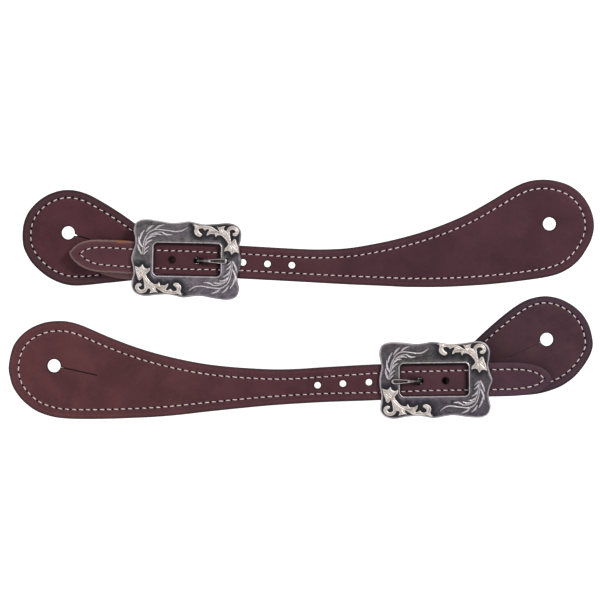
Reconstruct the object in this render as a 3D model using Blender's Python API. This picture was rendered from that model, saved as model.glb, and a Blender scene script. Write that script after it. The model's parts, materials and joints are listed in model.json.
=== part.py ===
"""A pair of spur straps: two buckled leather straps, opposite hands of one another, laid flat.

Each strap is a long piece (large button end tapering to a billet) and a short piece (small button
end turned round the buckle's centre bar). Everything is in millimetres until `solid` and `finish`
scale it to metres. The table is the XY plane at z = 0, with +Z up. Strap coordinates: origin under
the buckle's bar, +x towards the large end, +y up the page; the left strap's x is mirrored on the
page. Buckle coordinates are the same without the mirroring.
"""

import math

import bmesh
import bpy
from mathutils import Matrix, Vector

MM = 0.001
SHARP_ANGLE = 30.0  # degrees between faces, above which an edge is shaded sharp

# --- leather -------------------------------------------------------------------------------------
LINING = 1.3  # thickness of the lining ply
OUTER = 2.2  # thickness of the outer ply
GLUE = 0.05  # gap between plies
PLY_STACK = LINING + GLUE + OUTER
EDGE_BEVEL = 0.55  # chamfer on the show face
BEVEL_SHARE = 0.2  # the chamfer is at most this share of the width
UNDER_BEVEL = 0.6  # chamfer on the lining's underside, as a share of the show face's

WRAP_R_IN = 1.15  # the turned end's bend round the bar
WRAP_R_OUT = WRAP_R_IN + LINING
WRAP_HALF = 9.45  # half width of the turned end at the bar
BEND_STEPS = 10
BAR_Z = LINING + WRAP_R_IN  # height of the buckle's bar over the table
TURN_Z0 = BAR_Z + WRAP_R_IN  # underside of the turned end
TURN_Z1 = TURN_Z0 + LINING
SHORT_TOP = TURN_Z0 - GLUE  # face of the short outer ply
BILLET_Z = TURN_Z1 + 0.1  # underside of the billet where it lies on the short piece
FALL = (34.0, 100.0)  # the long piece comes down to the table between these x

END_STATIONS = [0.12, 0.5, 1.2, 2.3, 4.0, 6.4, 9.6, 13.6]  # distances in from a round end
LONG_PITCH, SHORT_PITCH = 9.0, 6.5  # between stations away from the ends
SHORT_STATIONS_END = -5.5
SHORT_OUTER_END = -2.7  # the short outer ply stops short of the bar

# --- holes and seams -----------------------------------------------------------------------------
HOLE_R, HOLE_SIDES = 2.0, 14  # punched billet holes
BUTTON_R, BUTTON_SIDES = 3.8, 20  # button holes
SLIT_W = 0.5
CUT_Z = (-5, 20)  # reach of the cutters through the leather
SLOT_X, SLOT_HALF, SLOT_Z = (-7.0, 6.0), 1.7, (-2, 12)  # slot for the tongue

SEAM_IN, SEAM_IN_BILLET = 4.7, 4.1  # seam's distance from the edge, at its widest and narrowest
LONG_SEAM_WIDENS = (40.0, 100.0)  # the distance grows between these x
SHORT_SEAM_WIDENS = (-10.0, -40.0)
SEAM_TOLERANCE = 0.2
SEAM_STEP = 14.0  # longest step of the long piece's seam
SEAM_CLEAR = 0.985  # share of its distance that an inset point must keep from the edge
SHORT_SEAM_END = -5.0
STEP_RUN = 0.9  # the seam steps up over this far each side of the turned end's edge
STEP_CLEAR = 1.2  # a seam point nearer than this after the step is dropped
GROOVE_W, GROOVE_D = 1.2, 0.55
GROOVE_STAGGER = 0.02  # keeps the faces of overlapping groove lengths apart
GROOVE_RUN_ON = 0.4
GROOVE_REACH = 1.0  # the cutter's reach outside the leather
THREAD_W = 0.7
THREAD_TOP, THREAD_BOT = 0.1, 0.42  # thread lies this far under the surface, near and far side

# --- buckle --------------------------------------------------------------------------------------
BAR_R, BAR_SIDES, BAR_HALF = 1.1, 20, 12.0
OPEN_X, OPEN_Y, OPEN_R = 19.2, 9.95, 2.6  # half sizes and corner radius of the opening
FRAME_Z0 = BILLET_Z + PLY_STACK + 0.15
FRAME_Z1 = FRAME_Z0 + 2.3  # the face
RIM_DROP, EDGE_DROP = 0.7, 1.0  # depth of the chamfers at the opening and the scalloped edge
RIM_IN, EDGE_IN = 1.3, 1.4  # their widths
POST_Y = (10.05, 12.6)
# One post's profile, clockwise or not alike: half width, z.
POST_PROFILE = [
    (1.0, BAR_Z - 1.3), (1.4, BAR_Z), (2.0, FRAME_Z0 - 1.0), (2.0, FRAME_Z0 + 0.8),
]
OVERLAY_GAP, OVERLAY_T = 0.05, 0.8
OVERLAY_SIDE = 0.55  # upright share of the overlay's thickness, under its chamfer
OVERLAY_CHAMFER = 0.35

TONGUE_T = 1.4
TONGUE_CHAMFER = 0.3
TONGUE_RING_R, TONGUE_RING_IN, TONGUE_RING_HALF, TONGUE_RING_SIDES = 2.25, 1.17, 1.1, 24
TONGUE_BORE_HALF = 5
TONGUE_REST_Z = FRAME_Z0 + 1.55  # underside of the tip, in its notch in the end bar
NOTCH_HALF = 1.75
NOTCH_INSIDE, NOTCH_PAST_TIP = 2, 0.5  # from the opening's edge inwards, and past the tongue's tip
NOTCH_UNDER, NOTCH_OVER = 0.1, 3  # below the resting tongue, and above the frame's face
DRAW = 4.9  # millimetres the billet is drawn for each radian the tongue rises
LOWEST_ANGLE = -0.22  # radians, the tongue's last angle on the swept part of its crank
SWEEP_STEPS = 8
SWEEP_W = 1.5  # width of the tongue where it passes through the billet
SPINE_GAP = 0.35  # spine points nearer than this to the one before are dropped

# Half of the frame's scalloped edge, x and y; the other half is the same turned half a turn.
SCALLOPS = [
    (-31.4, 0.3), (-30.6, 4.1), (-29.3, 8.0), (-29.4, 12.1), (-30.2, 16.0), (-28.6, 20.3),
    (-24.0, 22.0), (-16.8, 21.5), (-9.7, 20.6), (-4.9, 20.7), (1.7, 21.5), (9.3, 20.0),
    (16.4, 20.3), (23.4, 21.0), (28.3, 19.6), (30.8, 16.5), (30.9, 12.2), (30.0, 8.3), (30.4, 4.2),
]
# One silver scroll, x and y, clockwise, on the frame's corner at +x +y; the other is the same
# turned half a turn.
SCROLL = [
    (4.0, 19.0), (7.2, 18.3), (11.0, 18.4), (15.5, 17.2), (19.5, 16.2), (22.0, 17.6), (25.2, 18.7),
    (28.2, 17.3), (29.2, 14.5), (27.6, 11.8), (28.6, 9.0), (28.9, 6.0), (27.4, 4.4), (28.6, 2.9),
    (26.3, 2.5), (25.0, 4.0), (23.4, 5.2), (21.2, 4.9), (22.6, 7.2), (23.0, 10.0), (20.6, 12.4),
    (17.0, 13.4), (13.2, 13.0), (10.6, 14.0), (9.2, 12.4), (7.0, 13.4), (6.6, 16.0),
]

# --- materials: colour, metallic, roughness ------------------------------------------------------
PAINTS = {
    "leather": ((0.085, 0.028, 0.038), 0.0, 0.5),
    "flesh": ((0.16, 0.075, 0.06), 0.0, 0.8),
    "thread": ((0.62, 0.52, 0.5), 0.0, 0.7),
    "frame": ((0.13, 0.13, 0.13), 1.0, 0.42),
    "tongue": ((0.42, 0.41, 0.4), 1.0, 0.35),
    "silver": ((0.75, 0.72, 0.68), 1.0, 0.3),
}

# --- the two straps ------------------------------------------------------------------------------
# bar: the buckle bar's place on the page; turn: degrees; mirror: x is mirrored on the page
# long_*, short_*: outline points x, y; each piece's top and bot join into one clockwise (long) or
#   anticlockwise (short) run
# turned: the turned end's x, upper y, lower y
# holes: billet holes, the second of which is on the tongue
# tongue_tip, tongue_y: x of the tongue's tip, y of its middle
# draw: how far the billet moves towards its tip when the tongue is fully raised
# *_hole, *_slit: button holes and the ends of the slits that open from them
STRAPS = {
    "right": {
        "bar": (-65.36, 22.57),
        "turn": -1.0,
        "mirror": False,
        "long_top": [
            (-67.0, 2.5), (-65.4, 5.2), (-62.4, 7.9), (-57.6, 10.0), (-50.0, 10.8), (-30.0, 10.2),
            (0.0, 9.4), (37.0, 8.3), (64.5, 7.4), (78.0, 7.4), (92.0, 8.4), (106.0, 10.9),
            (119.0, 13.9), (133.0, 18.0), (146.0, 22.8), (160.0, 29.2), (173.5, 37.1),
            (183.5, 43.4), (190.5, 47.0), (197.0, 48.9), (204.0, 49.4), (211.0, 48.5),
            (217.7, 46.2), (223.5, 42.2), (228.1, 36.4), (230.9, 30.2), (232.0, 23.4),
        ],
        "long_bot": [
            (230.9, 16.6), (228.4, 11.0), (224.1, 4.3), (218.5, -0.8), (211.8, -4.4),
            (204.0, -6.5), (194.5, -8.1), (181.0, -10.0), (167.0, -11.5), (147.0, -12.9),
            (126.5, -13.3), (112.5, -12.9), (92.0, -12.4), (65.0, -11.6), (37.0, -10.7),
            (0.0, -9.5), (-31.5, -8.7), (-49.0, -8.0), (-55.7, -6.8), (-61.0, -4.4), (-64.6, -1.4),
        ],
        "short_top": [
            (0.0, 9.45), (-9.5, 9.6), (-16.5, 10.9), (-22.0, 14.2), (-28.1, 18.6), (-35.0, 23.5),
            (-42.0, 28.1), (-49.0, 32.5), (-56.0, 36.1), (-62.5, 38.2), (-67.8, 38.8),
            (-73.0, 38.3), (-78.6, 36.4), (-83.1, 33.8), (-87.0, 30.5), (-90.6, 25.6),
            (-92.9, 19.5), (-93.5, 12.7),
        ],
        "short_bot": [
            (-92.9, 6.6), (-91.1, 2.0), (-87.9, -3.2), (-82.6, -8.6), (-77.7, -11.9),
            (-72.0, -14.4), (-66.8, -15.6), (-61.7, -15.8), (-55.0, -15.2), (-48.0, -14.3),
            (-41.0, -13.6), (-31.5, -12.6), (-20.5, -11.4), (-9.5, -10.0), (0.0, -9.45),
        ],
        "turned": [
            (0.0, 9.45, -9.45), (-12.0, 9.5, -9.8), (-24.0, 9.5, -10.8), (-34.0, 9.4, -11.6),
            (-43.0, 9.2, -10.4), (-49.0, 8.6, -8.6),
        ],
        "holes": [
            (-8.3, -0.2), (6.2, -0.5), (18.9, -0.7), (32.2, -0.9), (46.1, -1.5), (60.0, -2.0),
        ],
        "tongue_tip": 22.4,
        "tongue_y": -0.45,
        "draw": 3.0,
        "big_hole": (206.5, 24.2),
        "big_slit": None,
        "small_hole": (-67.9, 14.3),
        "small_slit": ((-66.0, 13.3), (-46.0, 7.7)),
    },
    "left": {
        "bar": (76.14, -46.13),
        "turn": 0.7,
        "mirror": True,
        "long_top": [
            (-66.2, 0.3), (-64.9, 3.4), (-61.7, 6.2), (-56.6, 8.4), (-48.6, 9.6), (-37.0, 9.8),
            (0.0, 9.45), (36.0, 9.2), (63.0, 8.2), (77.0, 7.6), (90.5, 7.4), (104.0, 8.1),
            (118.0, 9.3), (131.5, 11.1), (145.0, 13.8), (159.0, 17.4), (172.5, 21.8),
            (186.0, 27.2), (196.2, 31.8), (203.0, 34.6), (209.8, 36.3), (216.7, 36.5),
            (223.5, 35.4), (230.4, 32.5), (236.2, 28.0), (240.6, 21.6), (243.0, 11.2),
        ],
        "long_bot": [
            (242.3, 4.5), (240.6, -1.0), (237.0, -6.6), (232.7, -11.0), (227.3, -14.8),
            (220.8, -17.4), (213.9, -18.9), (203.5, -19.6), (186.5, -19.7), (173.0, -19.4),
            (159.0, -18.9), (145.5, -17.9), (131.8, -16.5), (111.3, -14.5), (91.0, -12.8),
            (63.5, -11.3), (36.0, -10.2), (0.0, -9.55), (-37.0, -9.3), (-48.4, -9.1),
            (-56.4, -7.9), (-61.6, -5.8), (-64.9, -2.9),
        ],
        "short_top": [
            (0.0, 9.45), (-6.5, 10.0), (-11.6, 12.6), (-16.8, 16.6), (-22.6, 21.8), (-29.5, 28.1),
            (-36.4, 34.0), (-43.3, 39.4), (-49.5, 43.5), (-55.0, 45.9), (-60.5, 47.1),
            (-65.4, 47.2), (-70.7, 46.1), (-75.8, 43.9), (-81.0, 40.4), (-85.2, 36.0),
            (-88.6, 29.6), (-90.4, 21.2),
        ],
        "short_bot": [
            (-89.8, 15.9), (-87.4, 10.8), (-83.9, 5.7), (-79.5, 0.9), (-75.0, -2.5), (-70.1, -5.1),
            (-63.2, -7.4), (-56.4, -8.7), (-46.1, -9.6), (-32.4, -10.1), (-20.0, -10.0),
            (-9.5, -9.8), (0.0, -9.45),
        ],
        "turned": [
            (0.0, 9.45, -9.45), (-12.0, 9.5, -9.5), (-24.0, 9.5, -9.6), (-34.0, 9.4, -9.6),
            (-43.0, 9.2, -9.3), (-49.0, 8.6, -8.6),
        ],
        "holes": [
            (-5.8, -0.2), (8.8, -0.2), (23.3, -0.2), (37.7, -0.5), (52.5, -1.1), (66.9, -1.9),
        ],
        "tongue_tip": 24.9,
        "tongue_y": -0.25,
        "draw": 3.6,
        "big_hole": (217.1, 11.0),
        "big_slit": ((215.0, 9.9), (192.7, 5.3)),
        "small_hole": (-64.1, 22.6),
        "small_slit": ((-62.5, 21.4), (-41.8, 12.3)),
    },
}


# --- curves --------------------------------------------------------------------------------------
def clamp(value, low, high):
    return min(max(value, low), high)


def ramp(x, start, end):
    """0 at start, 1 at end, and level beyond them."""
    return clamp((x - start) / (end - start), 0.0, 1.0)


def spline(points, closed=False, per=8):
    """Catmull-Rom through the control points, with `per` steps to each span."""
    count = len(points)
    out = []
    for i in range(count if closed else count - 1):
        if closed:
            span = [points[(i + k) % count] for k in (-1, 0, 1, 2)]
        else:
            span = [points[clamp(i + k, 0, count - 1)] for k in (-1, 0, 1, 2)]
        for step in range(per):
            t = step / per
            out.append(tuple(
                0.5 * (2 * b + (c - a) * t + (2 * a - 5 * b + 4 * c - d) * t * t
                       + (3 * b - a - 3 * c + d) * t ** 3)
                for a, b, c, d in zip(*span)
            ))
    if not closed:
        out.append(tuple(points[-1]))
    return out


def split(ring):
    """A closed outline as its upper and lower edges, each from the low-x end to the high-x end."""
    count = len(ring)
    left = min(range(count), key=lambda i: ring[i][0])
    right = max(range(count), key=lambda i: ring[i][0])
    upper = [ring[(left + k) % count] for k in range((right - left) % count + 1)]
    lower = [ring[(right + k) % count] for k in range((left - right) % count + 1)]
    return upper, lower[::-1]


def y_at(edge, x):
    """Height of an edge that runs one way in x."""
    if edge[0][0] > edge[-1][0]:
        edge = edge[::-1]
    if x <= edge[0][0]:
        return edge[0][1]
    for (x0, y0), (x1, y1) in zip(edge, edge[1:]):
        if x0 <= x <= x1 and x1 > x0:
            return y0 + (y1 - y0) * (x - x0) / (x1 - x0)
    return edge[-1][1]


def thinned(points):
    """Fewer points that keep the line within SEAM_TOLERANCE, ends kept."""
    if len(points) < 3:
        return points
    start = Vector(points[0])
    along = Vector(points[-1]) - start
    worst, worst_at = -1.0, 0
    for i, point in enumerate(points[1:-1], 1):
        offset = Vector(point) - start
        if along.length > 1e-9:
            offset -= along * clamp(offset.dot(along) / along.dot(along), 0.0, 1.0)
        if offset.length > worst:
            worst, worst_at = offset.length, i
    if worst <= SEAM_TOLERANCE:
        return [points[0], points[-1]]
    return thinned(points[: worst_at + 1])[:-1] + thinned(points[worst_at:])


def halves(path, closed):
    """A path as two lengths that share their middle point, and their ends if it is closed."""
    half = len(path) // 2
    return path[: half + 1], path[half:] + (path[:1] if closed else [])


def thinned_seam(path, closed):
    first, second = halves(path, closed)
    joined = thinned(first)[:-1] + thinned(second)
    return joined[:-1] if closed else joined


def subdivided(path, longest):
    """The closed path with no step over `longest`, to follow the leather where it comes down."""
    out = []
    for i, (x0, y0) in enumerate(path):
        x1, y1 = path[(i + 1) % len(path)]
        steps = max(1, math.ceil(math.dist((x0, y0), (x1, y1)) / longest))
        out += [(x0 + (x1 - x0) * k / steps, y0 + (y1 - y0) * k / steps) for k in range(steps)]
    return out


def distance_to_line(point, line, closed):
    least = 1e9
    for i in range(len(line) if closed else len(line) - 1):
        (x0, y0), (x1, y1) = line[i], line[(i + 1) % len(line)]
        run, rise = x1 - x0, y1 - y0
        from_x, from_y = point[0] - x0, point[1] - y0
        t = clamp((from_x * run + from_y * rise) / max(run * run + rise * rise, 1e-12), 0.0, 1.0)
        least = min(least, math.hypot(from_x - t * run, from_y - t * rise))
    return least


def neighbours(points, i, closed):
    """The points before and after, or the point itself past an open end."""
    count = len(points)
    before = points[(i - 1) % count] if closed or i else points[i]
    after = points[(i + 1) % count] if closed or i < count - 1 else points[i]
    return before, after


def moved(points, margins, closed):
    """Each point moved by its margin to the right-hand side of travel."""
    out = []
    for i, ((x, y), margin) in enumerate(zip(points, margins)):
        before, after = neighbours(points, i, closed)
        ahead = (Vector(after) - Vector(before)).normalized()
        out.append((x + ahead.y * margin, y - ahead.x * margin))
    return out


def inset(points, margins, closed):
    """As `moved`, less the points that come too near the edge: round a sharp corner the moved
    line would otherwise cross itself."""
    return [
        point for point, margin in zip(moved(points, margins, closed), margins)
        if distance_to_line(point, points, closed) > SEAM_CLEAR * abs(margin)
    ]


def seam_margin(x, widens):
    return SEAM_IN_BILLET + (SEAM_IN - SEAM_IN_BILLET) * ramp(x, *widens)


def long_z(x):
    """Height of the long piece's underside: on the short piece, then down to the table."""
    return BILLET_Z * (0.5 + 0.5 * math.cos(math.pi * ramp(x, *FALL)))


def placer(strap, mirror):
    """The function that puts a point of the strap or buckle on the page."""
    angle = math.radians(strap["turn"])
    cos, sin = math.cos(angle), math.sin(angle)
    bar_x, bar_y = strap["bar"]
    toward = -1 if mirror else 1

    def place(x, y, z):
        x = toward * x
        return Vector((bar_x + x * cos - y * sin, bar_y + x * sin + y * cos, z))

    return place


# --- meshes --------------------------------------------------------------------------------------
def clear():
    for obj in list(bpy.data.objects):
        bpy.data.objects.remove(obj, do_unlink=True)


def material(name, colour, metallic, roughness):
    made = bpy.data.materials.new(name)
    made.use_nodes = True
    shader = made.node_tree.nodes["Principled BSDF"]
    shader.inputs["Base Color"].default_value = (*colour, 1.0)
    shader.inputs["Metallic"].default_value = metallic
    shader.inputs["Roughness"].default_value = roughness
    made.diffuse_color = (*colour, 1.0)
    return made


def solid(name, vertices, faces, place):
    """A closed mesh from millimetre vertices, with its faces turned outwards."""
    mesh = bpy.data.meshes.new(name)
    mesh.from_pydata([place(*vertex) * MM for vertex in vertices], [], faces)
    bm = bmesh.new()
    bm.from_mesh(mesh)
    bmesh.ops.triangulate(bm, faces=[face for face in bm.faces if len(face.verts) > 4])
    bmesh.ops.recalc_face_normals(bm, faces=bm.faces)
    bm.to_mesh(mesh)
    bm.free()
    obj = bpy.data.objects.new(name, mesh)
    bpy.context.scene.collection.objects.link(obj)
    return obj


def tube(name, rings, closed, place):
    """A solid through rings of equal vertex count."""
    sides = len(rings[0])
    faces = []
    for i in range(len(rings) if closed else len(rings) - 1):
        a, b = i * sides, ((i + 1) % len(rings)) * sides
        for k in range(sides):
            m = (k + 1) % sides
            faces.append((a + k, a + m, b + m, b + k))
    if not closed:
        faces.append(tuple(range(sides)))
        faces.append(tuple((len(rings) - 1) * sides + k for k in range(sides)))
    return solid(name, [vertex for ring in rings for vertex in ring], faces, place)


def prism(name, outline, z0, z1, place):
    count = len(outline)
    vertices = [(x, y, z) for z in (z0, z1) for x, y in outline]
    faces = [tuple(range(count)), tuple(range(count, 2 * count))]
    for k in range(count):
        m = (k + 1) % count
        faces.append((k, m, count + m, count + k))
    return solid(name, vertices, faces, place)


def disc(x, y, radius, sides):
    angles = [2 * math.pi * k / sides for k in range(sides)]
    return [(x + radius * math.cos(a), y + radius * math.sin(a)) for a in angles]


def combine(obj, others, operation="DIFFERENCE"):
    """Booleans, baked into the mesh; the helpers are removed."""
    for other in others:
        modifier = obj.modifiers.new("cut", "BOOLEAN")
        modifier.operation = operation
        modifier.solver = "EXACT"
        modifier.object = other
    graph = bpy.context.evaluated_depsgraph_get()
    baked = bpy.data.meshes.new_from_object(obj.evaluated_get(graph))
    obj.modifiers.clear()
    obj.data = baked
    for other in others:
        bpy.data.objects.remove(other, do_unlink=True)


def finish(obj, paint):
    """The object's own material and shading, and its origin from the page's to the bar's middle."""
    obj.data.materials.clear()
    obj.data.materials.append(material(f"{obj.name}_material", *PAINTS[paint]))
    obj.data.shade_smooth()
    obj.data.set_sharp_from_angle(angle=math.radians(SHARP_ANGLE))
    side = obj.name.split("_")[0]
    origin = placer(STRAPS[side], False)(0.0, 0.0, BAR_Z) * MM
    obj.data.transform(Matrix.Translation(-origin))
    obj.location = origin


# --- leather -------------------------------------------------------------------------------------
def paced(start, stop, pitch):
    """Start, and on at the pitch while below stop."""
    xs = []
    while start < stop:
        xs.append(start)
        start += pitch
    return xs


def long_stations(low, high):
    """x positions: close together at both round ends, then at the pitch."""
    inner = END_STATIONS[-1]
    xs = [low + d for d in END_STATIONS] + [high - d for d in END_STATIONS]
    xs += paced(low + inner + LONG_PITCH, high - inner - LONG_PITCH * 0.4, LONG_PITCH)
    return sorted(xs)


def short_stations(low):
    xs = [low + d for d in END_STATIONS]
    return xs + paced(xs[-1] + SHORT_PITCH, SHORT_STATIONS_END, SHORT_PITCH)


def ply(name, top, bot, xs, base_z, height, face, place):
    """A leather ply: a ring at each x. Face 1 chamfers the show face, -1 the underside."""
    rings = []
    for x in xs:
        y1, y0 = y_at(top, x), y_at(bot, x)
        z0 = base_z(x)
        z1 = z0 + height
        c = min(EDGE_BEVEL, BEVEL_SHARE * (y1 - y0))
        if face > 0:
            section = [(y0, z0), (y1, z0), (y1, z1 - c), (y1 - c, z1), (y0 + c, z1), (y0, z1 - c)]
        else:
            c *= UNDER_BEVEL
            section = [(y0 + c, z0), (y1 - c, z0), (y1, z0 + c), (y1, z1), (y0, z1), (y0, z0 + c)]
        rings.append([(x, y, z) for y, z in section])
    return tube(name, rings, False, place)


def seam_rings(path, width, low, high, closed):
    """Square rings along a seam path of (x, y, z of the leather's face)."""
    rings = []
    for i, (x, y, z) in enumerate(path):
        before, after = neighbours(path, i, closed)
        ahead = Vector((after[0] - before[0], after[1] - before[1])).normalized()
        dx, dy = -ahead.y * width / 2, ahead.x * width / 2
        rings.append([
            (x + dx, y + dy, z + low), (x - dx, y - dy, z + low),
            (x - dx, y - dy, z + high), (x + dx, y + dy, z + high),
        ])
    return rings


def run_on(path):
    """The open path with both ends run on."""
    def past(end, inner):
        beyond = Vector((end[0] - inner[0], end[1] - inner[1])).normalized() * GROOVE_RUN_ON
        return (end[0] + beyond.x, end[1] + beyond.y, end[2])

    return [past(path[0], path[1])] + path + [past(path[-1], path[-2])]


def grooves(path, face, closed, place):
    """Cutters for the stitch groove. A seam that closes on itself is cut as two lengths."""
    made = []
    for i, part in enumerate(halves(path, True) if closed else [path]):
        stagger = GROOVE_STAGGER * i
        depth = GROOVE_D - stagger
        low, high = (-depth, GROOVE_REACH) if face > 0 else (-GROOVE_REACH, depth)
        rings = seam_rings(run_on(part), GROOVE_W - stagger, low, high, False)
        made.append(tube("groove", rings, False, place))
    return made


def build_thread(name, path, face, closed, place):
    low, high = (-THREAD_BOT, -THREAD_TOP) if face > 0 else (THREAD_TOP, THREAD_BOT)
    finish(tube(name, seam_rings(path, THREAD_W, low, high, closed), closed, place), "thread")


def hole_cutter(spot, radius, sides, place):
    return prism("hole", disc(*spot, radius, sides), *CUT_Z, place)


def button_cutters(spot, slit, place):
    """A button hole and the slit from it, if there is one."""
    made = [hole_cutter(spot, BUTTON_R, BUTTON_SIDES, place)]
    if slit:
        (x0, y0), (x1, y1) = slit
        ahead = Vector((x1 - x0, y1 - y0)).normalized()
        dx, dy = -ahead.y * SLIT_W / 2, ahead.x * SLIT_W / 2
        outline = [(x0 + dx, y0 + dy), (x0 - dx, y0 - dy), (x1 - dx, y1 - dy), (x1 + dx, y1 + dy)]
        made.append(prism("slit", outline, *CUT_Z, place))
    return made


def build_long(side, strap):
    place = placer(strap, strap["mirror"])
    ring = spline(strap["long_top"] + strap["long_bot"], closed=True)
    top, bot = split(ring)
    xs = long_stations(top[0][0], top[-1][0])
    outer = ply(f"{side}_long_outer_ply", top, bot, xs,
                lambda x: long_z(x) + LINING + GLUE, OUTER, 1, place)
    lining = ply(f"{side}_long_lining", top, bot, xs, long_z, LINING, -1, place)

    path = inset(ring, [seam_margin(x, LONG_SEAM_WIDENS) for x, _ in ring], True)
    path = subdivided(thinned_seam(path, True), SEAM_STEP)
    over = [(x, y, long_z(x) + PLY_STACK) for x, y in path]
    under = [(x, y, long_z(x)) for x, y in path]

    for obj, seam, face in ((outer, over, 1), (lining, under, -1)):
        cutters = [hole_cutter(spot, HOLE_R, HOLE_SIDES, place) for spot in strap["holes"]]
        cutters += button_cutters(strap["big_hole"], strap["big_slit"], place)
        combine(obj, cutters + grooves(seam, face, True, place))
    finish(outer, "leather")
    finish(lining, "flesh")
    build_thread(f"{side}_long_top_thread", over, 1, True, place)
    build_thread(f"{side}_long_bobbin_thread", under, -1, True, place)


def short_lining_rings(top, bot, xs, turned):
    """Out along the table, round the bar, and back over the outer ply."""
    rings = []
    for x in xs:
        y1, y0 = y_at(top, x), y_at(bot, x)
        rings.append([(x, y0, 0.0), (x, y1, 0.0), (x, y1, LINING), (x, y0, LINING)])
    for step in range(BEND_STEPS + 1):
        angle = math.radians(-90 + 180 * step / BEND_STEPS)
        (out_x, out_z), (in_x, in_z) = (
            (radius * math.cos(angle), BAR_Z + radius * math.sin(angle))
            for radius in (WRAP_R_OUT, WRAP_R_IN)
        )
        rings.append([
            (out_x, -WRAP_HALF, out_z), (out_x, WRAP_HALF, out_z),
            (in_x, WRAP_HALF, in_z), (in_x, -WRAP_HALF, in_z),
        ])
    for x, y1, y0 in turned[1:]:
        rings.append([(x, y0, TURN_Z1), (x, y1, TURN_Z1), (x, y1, TURN_Z0), (x, y0, TURN_Z0)])
    return rings


def short_top_seam(path, turned):
    """The seam on the short piece's upper face, stepping up where it crosses the turned end."""
    upper = [(x, y) for x, y, _ in turned]
    lower = [(x, y) for x, _, y in turned]
    end = turned[-1][0]

    def on_turned(x, y):
        return x > end and y_at(lower, x) < y < y_at(upper, x)

    def face_z(covered):
        return TURN_Z1 if covered else SHORT_TOP

    over = []
    for i, (x, y) in enumerate(path):
        covered = on_turned(x, y)
        if over and on_turned(*over[-1][:2]) != covered:
            # find where the seam meets the turned end's edge, and step there
            start, goal = Vector(path[i - 1]), Vector((x, y))
            near, far = start, goal
            was_covered = on_turned(*start)
            for _ in range(24):
                middle = (near + far) / 2
                if on_turned(*middle) == was_covered:
                    near = middle
                else:
                    far = middle
            ahead = (goal - start).normalized() * STEP_RUN
            before, after = near - ahead, near + ahead
            over.append((*before, face_z(was_covered)))
            over.append((*after, face_z(not was_covered)))
            if (goal - after).length < STEP_CLEAR:
                continue
        over.append((x, y, face_z(covered)))
    return over


def build_short(side, strap):
    place = placer(strap, strap["mirror"])
    ring = spline(strap["short_top"] + strap["short_bot"])
    far = min(range(len(ring)), key=lambda i: ring[i][0])
    top, bot = ring[: far + 1], ring[far:]
    xs = short_stations(ring[far][0])
    turned = spline(strap["turned"], per=2)

    outer = ply(f"{side}_short_outer_ply", top, bot, xs + [SHORT_OUTER_END],
                lambda x: LINING + GLUE, SHORT_TOP - LINING - GLUE, 1, place)
    lining = tube(f"{side}_short_lining_turned_end",
                  short_lining_rings(top, bot, xs, turned), False, place)

    # travel is from the bar out and back, so the leather is on the left-hand side
    path = inset(ring, [-seam_margin(x, SHORT_SEAM_WIDENS) for x, _ in ring], False)
    path = thinned_seam([point for point in path if point[0] < SHORT_SEAM_END], False)
    over = short_top_seam(path, turned)
    under = [(x, y, 0.0) for x, y in path]

    for obj in (outer, lining):
        cutters = button_cutters(strap["small_hole"], strap["small_slit"], place)
        cutters += grooves(over, 1, False, place)
        if obj is lining:
            cutters += grooves(under, -1, False, place)
            x0, x1 = SLOT_X
            slot = [(x0, -SLOT_HALF), (x1, -SLOT_HALF), (x1, SLOT_HALF), (x0, SLOT_HALF)]
            cutters.append(prism("slot", slot, *SLOT_Z, place))
        combine(obj, cutters)
    finish(outer, "leather")
    finish(lining, "flesh")
    build_thread(f"{side}_short_top_thread", over, 1, False, place)
    build_thread(f"{side}_short_bobbin_thread", under, -1, False, place)


# --- buckle --------------------------------------------------------------------------------------
def nearest_on_opening(x, y):
    """Nearest point of the opening's rounded rectangle, for a point outside it."""
    flat_x, flat_y = OPEN_X - OPEN_R, OPEN_Y - OPEN_R
    centre_x, centre_y = clamp(x, -flat_x, flat_x), clamp(y, -flat_y, flat_y)
    out = Vector((x - centre_x, y - centre_y)).normalized()
    return centre_x + out.x * OPEN_R, centre_y + out.y * OPEN_R


def build_frame(side, strap):
    """The scalloped frame with its centre bar, the bar's two posts and the tongue's notch."""
    place = placer(strap, False)
    rings = []
    for x, y in spline(SCALLOPS + [(-x, -y) for x, y in SCALLOPS], closed=True, per=2):
        open_x, open_y = nearest_on_opening(x, y)
        out = Vector((x - open_x, y - open_y)).normalized()
        rings.append([
            (open_x, open_y, FRAME_Z0),
            (open_x, open_y, FRAME_Z1 - RIM_DROP),
            (open_x + out.x * RIM_IN, open_y + out.y * RIM_IN, FRAME_Z1),
            (x - out.x * EDGE_IN, y - out.y * EDGE_IN, FRAME_Z1),
            (x, y, FRAME_Z1 - EDGE_DROP),
            (x, y, FRAME_Z0),
        ])
    frame = tube(f"{side}_buckle_frame", rings, True, place)

    right = POST_PROFILE
    left = [(-x, z) for x, z in reversed(POST_PROFILE)]
    shape = [left[-1]] + right + left[:-1]
    parts = [
        prism("post", shape, *sorted((s * POST_Y[0], s * POST_Y[1])),
              lambda x, z, y: place(x, y, z))
        for s in (1, -1)
    ]
    parts.append(prism("bar", disc(0, 0, BAR_R, BAR_SIDES), -BAR_HALF, BAR_HALF,
                       lambda x, z, y: place(x, y, BAR_Z + z)))
    combine(frame, parts, "UNION")

    x0, x1 = OPEN_X - NOTCH_INSIDE, strap["tongue_tip"] + NOTCH_PAST_TIP
    y0, y1 = strap["tongue_y"] - NOTCH_HALF, strap["tongue_y"] + NOTCH_HALF
    notch = prism("notch", [(x0, y0), (x1, y0), (x1, y1), (x0, y1)],
                  TONGUE_REST_Z - NOTCH_UNDER, FRAME_Z1 + NOTCH_OVER,
                  placer(strap, strap["mirror"]))
    combine(frame, [notch])
    finish(frame, "frame")


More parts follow.
